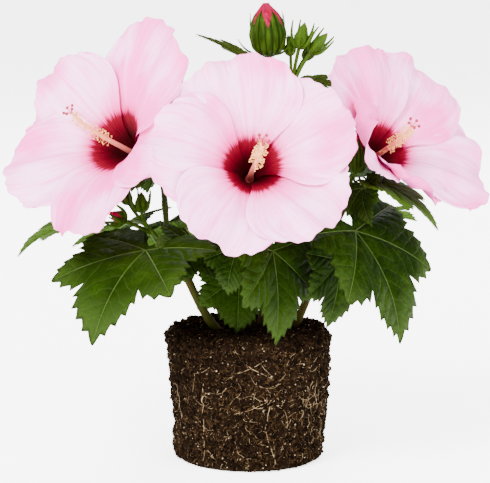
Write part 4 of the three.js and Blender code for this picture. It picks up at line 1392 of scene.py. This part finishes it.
def calyx_part(bloom):
    """The cup, from the stalk out over the five sepals and back to the throat."""
    c = CALYX
    half = c["thickness"] / 2
    around = np.arange(CALYX_SIDES) * 2 * math.pi / CALYX_SIDES
    first = math.radians(bloom.petals[0][0] + HALF_PETAL_TURN)
    lobe = np.abs((((around - first) * 5 / (2 * math.pi)) + 0.5) % 1 - 0.5) * 2
    reach = c["notch"] + (c["tip"] - c["notch"]) * (1 - lobe) ** 1.15
    ribs = 0.25 * np.cos(15 * (around - first))
    rings = [bloom.place(around, radius + ribs, height) for radius, height in CUP]
    shares = np.linspace(0, 1, 9)
    for side, order in ((1, shares), (-1, shares[::-1])):
        for share in order:
            thin = -side * half * (1 - 0.7 * share)
            out = INNER_RIM + (reach - INNER_RIM) * share
            rings.append(bloom.on_corolla(around, out, -c["gap"] + thin - side * ribs * 0.6))
    rings.append(bloom.place(around, *THROAT_FLOOR))
    return closed_rings(np.array(rings), bloom.place(0, 0, CUP[0][1]), bloom.place(0, 0, THROAT_FLOOR[1]))


BRACT_ROWS, BRACT_SIDES = 12, 6


def bracts(place_at, count, root, tip, middle, radius, pile):
    """Narrow bracts that curve out from a base, past a middle and up to their tips."""
    for number in range(count):
        around = (number + 0.5) * 2 * math.pi / count
        start, end = place_at(around, *root), place_at(around + 0.2 * math.sin(3 * number), *tip)
        bend = place_at(around, *middle)
        shares = np.linspace(0, 1, BRACT_ROWS)
        t = shares[:, None]
        path = (1 - t) ** 2 * start + 2 * (1 - t) * t * bend + t * t * end
        pile.add(tube(path, radius * (1 - 0.75 * shares ** 1.5), BRACT_SIDES))


FLOWER_STALK_ROWS = 30
STALK_KNEE = 0.45  # share of a flower stalk at which it swells


class HIBISCUS_OT_calyces(bpy.types.Operator):
    """Builds the sepals, bracts and flower stalks behind the blooms"""
    bl_idname = "hibiscus.calyces"
    bl_label = "Calyces"

    def execute(self, context):
        colours, _ = plant_settings()
        green = mottled("sepal", colours.bud_green, colours.bud_dark, 110, 0.5, 0.3, 0.0004)
        c = CALYX
        low, bract = -c["depth"] * 0.62, c["bract_length"]
        root = (c["radius"] - 3, low)
        middle = (c["radius"] + bract * 0.5, low + 1)
        tip = (c["radius"] + bract * 0.75, low + bract * 0.5)
        shares = np.linspace(0, 1, FLOWER_STALK_ROWS)
        girth = np.linspace(2.6, 2.3, FLOWER_STALK_ROWS)
        girth = girth + 0.5 * np.exp(-((shares - STALK_KNEE) / 0.05) ** 2)
        for name in BLOOMS:
            bloom = Bloom(name)
            pile = Pile()
            pile.add(calyx_part(bloom))
            bracts(bloom.place, c["bracts"], root, tip, middle, c["bract_radius"], pile)
            start, tangent = stem_end(bloom.stem)
            stalk = Run(start, bloom.place(0, 0, -c["depth"] + 3), tangent, bloom.axis)
            pile.add(tube(stalk.point(shares), girth, 14))
            pile.build(name + "_sepals", [green], "bud", [name + "_calyx"])
        return {"FINISHED"}


SHAFT, STIGMA, STYLE = 0, 1, 2  # finishes of a column
SHAFT_ROWS, SHAFT_SIDES = 60, 18
STIGMAS_FROM = 0.985  # share of the column where the styles part
STIGMA_ROWS, STIGMA_SIDES = 7, 10
ANTHER_SIZES, ANTHER_TUMBLE = (0.8, 1.3), 0.5
FIRST_ANTHER_SEED = 31


def round_knob(middle, axes, radius):
    """A small ball about three axes, the last of which runs through its poles."""
    across, over, axis = axes
    rings = []
    for height in np.linspace(-1, 1, STIGMA_ROWS)[1:-1]:
        girth = math.sqrt(1 - height * height)
        turns = np.arange(STIGMA_SIDES) * 2 * math.pi / STIGMA_SIDES
        spokes = [across * math.cos(turn) + over * math.sin(turn) for turn in turns]
        rings.append([middle + radius * (spoke * girth + axis * height) for spoke in spokes])
    return closed_rings(np.array(rings), middle - axis * radius, middle + axis * radius)


def add_stigmas(pile, run, across, over):
    """The styles that part at the column's tip, each with its round stigma."""
    root, tangent = run.point(STIGMAS_FROM), run.tangent(1)
    for number in range(COLUMN["stigmas"]):
        turn = (number + 0.5) * 2 * math.pi / COLUMN["stigmas"]
        out = across * math.cos(turn) + over * math.sin(turn)
        end = root + unit(out + tangent * 1.1) * COLUMN["stigma_reach"]
        style = Run(root, end, unit(tangent + out * 0.3), unit(out + tangent * 0.5))
        pile.add(tube(style.point(np.linspace(0, 1, 8)), np.linspace(0.5, 0.38, 8), 6), STYLE)
        pile.add(round_knob(end, (across, over, tangent), COLUMN["stigma_radius"]), STIGMA)


def stamen_part():
    """A short filament with a pollen-covered anther at its end."""
    path = np.array([[0, 0, -0.3], [0, 0, 1.5], [0.3, 0, 2.9]])
    filament, filament_faces = tube(path, [0.18, 0.15, 0.13], 4)
    anther, anther_faces = pebble(21, (0.9, 0.62, 0.62), 0.1)
    faces = filament_faces + [tuple(i + len(filament) for i in face) for face in anther_faces]
    return np.concatenate([filament, anther + place(0.3, 0, 3.3)]), faces


class HIBISCUS_OT_columns(bpy.types.Operator):
    """Builds the staminal columns with their anthers, styles and stigmas"""
    bl_idname = "hibiscus.columns"
    bl_label = "Columns"

    def execute(self, context):
        colours, sizes = plant_settings()
        c = COLUMN
        finishes = [
            column_finish(colours),
            mottled("stigma", colours.stigma, colours.column_foot, 900, 0.5),
            mottled("style", colours.column_middle, colours.column_foot, 600, 0.5),
        ]
        pollen = mottled("anther", colours.anther, colours.column_tip, 700, 0.7)
        shares = np.linspace(0, 1, SHAFT_ROWS)
        heights = np.concatenate([np.repeat(shares, SHAFT_SIDES), [0, 1]])
        uv = np.stack([np.zeros(len(heights)), heights], axis=1)
        for seed, name in enumerate(BLOOMS, FIRST_ANTHER_SEED):
            bloom = Bloom(name)
            heading, rise, length = bloom.column
            tip = bloom.foot + direction(heading, rise) * length
            run = Run(bloom.place(0, 0, -0.4), tip, bloom.axis, direction(heading, rise + 12))
            path = run.point(shares)
            girth = np.linspace(c["base"], c["neck"], SHAFT_ROWS)
            girth = girth + c["skirt"] * np.exp(-shares * length / 1.8)
            pile = Pile()
            pile.add(tube(path, girth, SHAFT_SIDES), SHAFT, uv)
            across, over = path_frames(path)
            add_stigmas(pile, run, across[-1], over[-1])
            shaft = pile.build(name + "_shaft", finishes, "column", [name + "_column"])
            brushed = (heights > c["anthers_from"]) & (heights < 0.975)
            where = np.zeros(len(shaft.data.vertices))
            where[:len(heights)] = np.where(brushed, 0.15 + 0.85 * smooth_step(heights, 0.45, 0.72), 0)
            grain = grain_object(name + "_anther", stamen_part())
            scatter(name + "_anthers", shaft.data, where, grain, pollen, sizes.anthers, ANTHER_SIZES,
                    ANTHER_TUMBLE, seed)
            bpy.data.objects.remove(grain)
        return {"FINISHED"}


# ---- buds ------------------------------------------------------------------------------------------------

SEPAL, PETAL, SHADED_GROOVE, SHADED_FOLD = 0, 1, 2, 3  # finishes of a bud
BRACT_FOOT = (0.1, 0.05)
# A bud's outline as shares of its length and of its half width, its rings and sides, the finish of the
# grooves in its sepals, which is painted shade on big buds, and its bracts as count, tip, middle and radius.
# The foot, tip and middle of a bract are pairs of shares of the bud's width and length.
BIG_BUD = {
    "heights": (0, 0.05, 0.16, 0.42, 0.68, 0.88, 1), "outs": (0.22, 0.55, 0.86, 1, 0.82, 0.52, 0.16),
    "rows": 64, "sides": 100, "groove": SHADED_GROOVE,
    "bracts": [(4, (0.6, 0.8), (0.74, 0.1), 1.1), (5, (0.82, 0.36), (0.6, 0.02), 1.2)],
}
SMALL_BUD = {
    "heights": (0, 0.14, 0.42, 0.8, 1), "outs": (0.25, 0.8, 1, 0.5, 0.06),
    "rows": 34, "sides": 50, "groove": SEPAL,
    "bracts": [(5, (0.85, 0.98), (0.8, 0.1), 2.2)],
}
BIG_FROM = 15  # width, in millimetres
OUTLINE_STEPS, OUTLINE_BLUR = 200, 19
FIRST_RIB = 0.3  # how far the ribs are turned off the bud's side, in radians
SEPALS_TO = 0.88  # share of the length that the sepals' tips reach


def bud_outline(kind, shares):
    """A bud's smoothed half width, as a share of its greatest."""
    fine = np.linspace(0, 1, OUTLINE_STEPS)
    outs = np.pad(np.interp(fine, kind["heights"], kind["outs"]), OUTLINE_BLUR // 2, mode="edge")
    return np.interp(shares, fine, np.convolve(outs, np.ones(OUTLINE_BLUR) / OUTLINE_BLUR, mode="valid"))


def add_bud(pile, base, tip, width, petals_from):
    """A ribbed bud: five sepals over rolled petals, whose tips show where the sepals end."""
    kind = BIG_BUD if width > BIG_FROM else SMALL_BUD
    start = place(*base)
    length = np.linalg.norm(place(*tip) - start)
    aim = unit(place(*tip) - start)
    side = unit(place(1, 0, 0) - aim * aim[0])
    axes = (side, np.cross(aim, side), aim)

    def place_at(around, radius, height):
        return round_place(start, axes, around, radius, height)

    rows, sides = kind["rows"], kind["sides"]
    shares = np.linspace(0, 1, rows)
    out_at = bud_outline(kind, shares) * width / 2
    around = np.arange(sides) * 2 * math.pi / sides
    fifths = 5 * (around + FIRST_RIB) / (2 * math.pi)
    folds = 15 * (around + FIRST_RIB)
    lobe = np.abs(fifths % 1 - 0.5) * 2
    sepal_top = petals_from + (SEPALS_TO - petals_from) * (1 - lobe) ** 0.8
    ribs = 1 + 0.05 * np.cos(folds) - 0.07 * lobe ** 3
    # Painted shade: on big buds the sepals' grooves, where the ribs dip in, take a darker finish.
    grooves = np.where(np.cos(folds) < -0.72, kind["groove"], SEPAL)
    rings, finishes = [], []
    for share, out in zip(shares, out_at):
        covered = share < sepal_top
        roll = (fifths + 1.3 * (share - 0.78)) % 1
        rings.append(place_at(around, out * np.where(covered, ribs, 0.80 + 0.13 * roll), share * length))
        # Painted shade: a dark crimson band on both sides of the step where one rolled petal's edge laps
        # over the next.
        rolled = np.where(np.abs(roll - 0.5) > 0.42, SHADED_FOLD, PETAL)
        finishes += np.where(covered, grooves, rolled).tolist()
    ends = [SEPAL, SEPAL if petals_from >= 1 else PETAL] * sides
    part = closed_rings(np.array(rings), start, start + aim * length)
    pile.add(part, finishes[:-sides] + ends)
    for count, bract_tip, middle, radius in kind["bracts"]:
        root, end, bend = [(wide * width, high * length) for wide, high in (BRACT_FOOT, bract_tip, middle)]
        bracts(place_at, count, root, end, bend, radius, pile)
    return start, aim


SPRAY_ROWS, BUD_STALK_ROWS = 16, 20


class HIBISCUS_OT_buds(bpy.types.Operator):
    """Builds the buds with their sepals, bracts and stalks"""
    bl_idname = "hibiscus.buds"
    bl_label = "Buds"

    def execute(self, context):
        colours, _ = plant_settings()
        dull = {"Specular_IOR_Level": 0.02}
        green = mottled("bud_sepal", colours.bud_green, colours.bud_dark, 300, 0.5, 0.3, 0.0004,
                        (1, 1, 0.15), **dull)
        young = mottled("young_sepal", colours.leaf_light, colours.bud_green, 200, 0.5, 0.3, 0.0004,
                        (1, 1, 0.3), **dull)
        pink = mottled("bud_petal", colours.bud_tip, colours.eye_red, 210, 0.55, 0.3, 0.0003, (1, 1, 0.25),
                       **dull)
        # Painted shade: dark green for the grooves between the sepals' ribs.
        groove = mottled("bud_groove", colours.bud_dark, colours.leaf_dark, 300, 0.6, **dull)
        # Painted shade: dark crimson for the bands where the rolled petals lap over each other.
        fold = mottled("bud_fold", colours.eye_red, colours.eye_rim, 300, 0.6, **dull)
        for name, (stem, twig, buds) in SPRAYS.items():
            pile = Pile()
            if twig:
                run = twig_run(stem, *twig)
            else:
                root, tangent = stem_end(stem)
                run = Run(root, root + tangent * 12, tangent, tangent)
            path = run.point(np.linspace(0, 1, SPRAY_ROWS))
            pile.add(tube(path, np.linspace(2.7, 2.1, SPRAY_ROWS), 12))
            root = run.point(0.94)
            for base, tip, width, petals_from in buds:
                start, aim = add_bud(pile, base, tip, width, petals_from)
                stalk = Run(root, start + aim * 1.2, run.tangent(1), aim)
                radii = np.full(BUD_STALK_ROWS, 1.1 + width / 24)
                pile.add(tube(stalk.point(np.linspace(0, 1, BUD_STALK_ROWS)), radii, 10))
            sepal = young if name == "bud_cluster" else green
            pile.build(name + "_sepals", [sepal, pink, groove, fold], "bud", [name])
        return {"FINISHED"}


# ---- stage -----------------------------------------------------------------------------------------------

CAMERA = {"aim": (-3.4, 0, 186), "distance": 2200, "rise": 10, "lens": 190.2, "sensor": 36}
FLOOR_HALF = 30  # metres
WORLD_STRENGTH, FLOOR_GLOW = 1.9, 3.2
LIGHTS_AIM = (0, 0, 0.2)
# A light's name, its place and width in metres, and its power in watts.
LIGHTS = [
    ("key", (-1.1, -1.5, 1.9), 1.2, 190),
    ("fill", (1.4, -1.3, 1.1), 1.6, 45),
    ("back", (0.3, 1.6, 1.6), 1.4, 70),
]


class HIBISCUS_OT_stage(bpy.types.Operator):
    """Sets the pale floor, the soft lights and the camera"""
    bl_idname = "hibiscus.stage"
    bl_label = "Stage"

    def execute(self, context):
        colours, _ = plant_settings()
        scene = context.scene
        floor_mesh = bpy.data.meshes.new("floor")
        corners = [(x * FLOOR_HALF, y * FLOOR_HALF, 0) for x, y in ((-1, -1), (1, -1), (1, 1), (-1, 1))]
        floor_mesh.from_pydata(corners, [], [(0, 1, 2, 3)])
        floor = bpy.data.objects.new("floor", floor_mesh)
        material, _, shader = new_finish("floor")
        shader.inputs["Base Color"].default_value = tuple(colours.floor) + (1,)
        shader.inputs["Emission Color"].default_value = (1, 1, 1, 1)
        set_shader(shader, 0.9, Specular_IOR_Level=0.1, Emission_Strength=FLOOR_GLOW)
        floor_mesh.materials.append(material)
        scene.collection.objects.link(floor)

        aim = Vector(LIGHTS_AIM)
        for name, where, size, energy in LIGHTS:
            data = bpy.data.lights.new(name, "AREA")
            data.shape, data.size, data.energy = "DISK", size, energy
            light = bpy.data.objects.new(name, data)
            light.location = where
            light.rotation_euler = (aim - Vector(where)).to_track_quat("-Z", "Y").to_euler()
            scene.collection.objects.link(light)
        world = bpy.data.worlds.new("studio")
        world.use_nodes = True
        background = world.node_tree.nodes["Background"]
        background.inputs["Color"].default_value = (1, 1, 1, 1)
        background.inputs["Strength"].default_value = WORLD_STRENGTH
        scene.world = world

        data = bpy.data.cameras.new("camera")
        data.lens, data.sensor_width = CAMERA["lens"], CAMERA["sensor"]
        camera = bpy.data.objects.new("camera", data)
        target = Vector(CAMERA["aim"]) * MM
        back = Vector(direction(0, CAMERA["rise"]))
        camera.location = target + back * CAMERA["distance"] * MM
        camera.rotation_euler = (target - camera.location).to_track_quat("-Z", "Y").to_euler()
        scene.collection.objects.link(camera)
        scene.camera = camera
        return {"FINISHED"}


OPERATORS = [HIBISCUS_OT_stage, HIBISCUS_OT_root_ball, HIBISCUS_OT_stems, HIBISCUS_OT_foliage,
             HIBISCUS_OT_corollas, HIBISCUS_OT_calyces, HIBISCUS_OT_columns, HIBISCUS_OT_buds]


class HIBISCUS_PT_panel(bpy.types.Panel):
    """Lists the plant's pieces with their sizes and colours"""
    bl_label = "Hibiscus"
    bl_idname = "HIBISCUS_PT_panel"
    bl_space_type = "VIEW_3D"
    bl_region_type = "UI"
    bl_category = "Hibiscus"

    def draw(self, context):
        for operator in OPERATORS:
            self.layout.operator(operator.bl_idname)
        for settings in (context.scene.hibiscus_sizes, context.scene.hibiscus_colours):
            for name in settings.__annotations__:
                self.layout.prop(settings, name)


CLASSES = [HibiscusColours, HibiscusSizes, *OPERATORS, HIBISCUS_PT_panel]


def register():
    for one in CLASSES:
        bpy.utils.register_class(one)
    bpy.types.Scene.hibiscus_colours = bpy.props.PointerProperty(type=HibiscusColours)
    bpy.types.Scene.hibiscus_sizes = bpy.props.PointerProperty(type=HibiscusSizes)


def unregister():
    del bpy.types.Scene.hibiscus_sizes
    del bpy.types.Scene.hibiscus_colours
    for one in reversed(CLASSES):
        bpy.utils.unregister_class(one)


def main():
    register()
    bpy.ops.hibiscus.stage()
    bpy.ops.hibiscus.root_ball()
    bpy.ops.hibiscus.stems()
    bpy.ops.hibiscus.foliage()
    bpy.ops.hibiscus.corollas()
    bpy.ops.hibiscus.calyces()
    bpy.ops.hibiscus.columns()
    bpy.ops.hibiscus.buds()


if __name__ == "__main__":
    main()
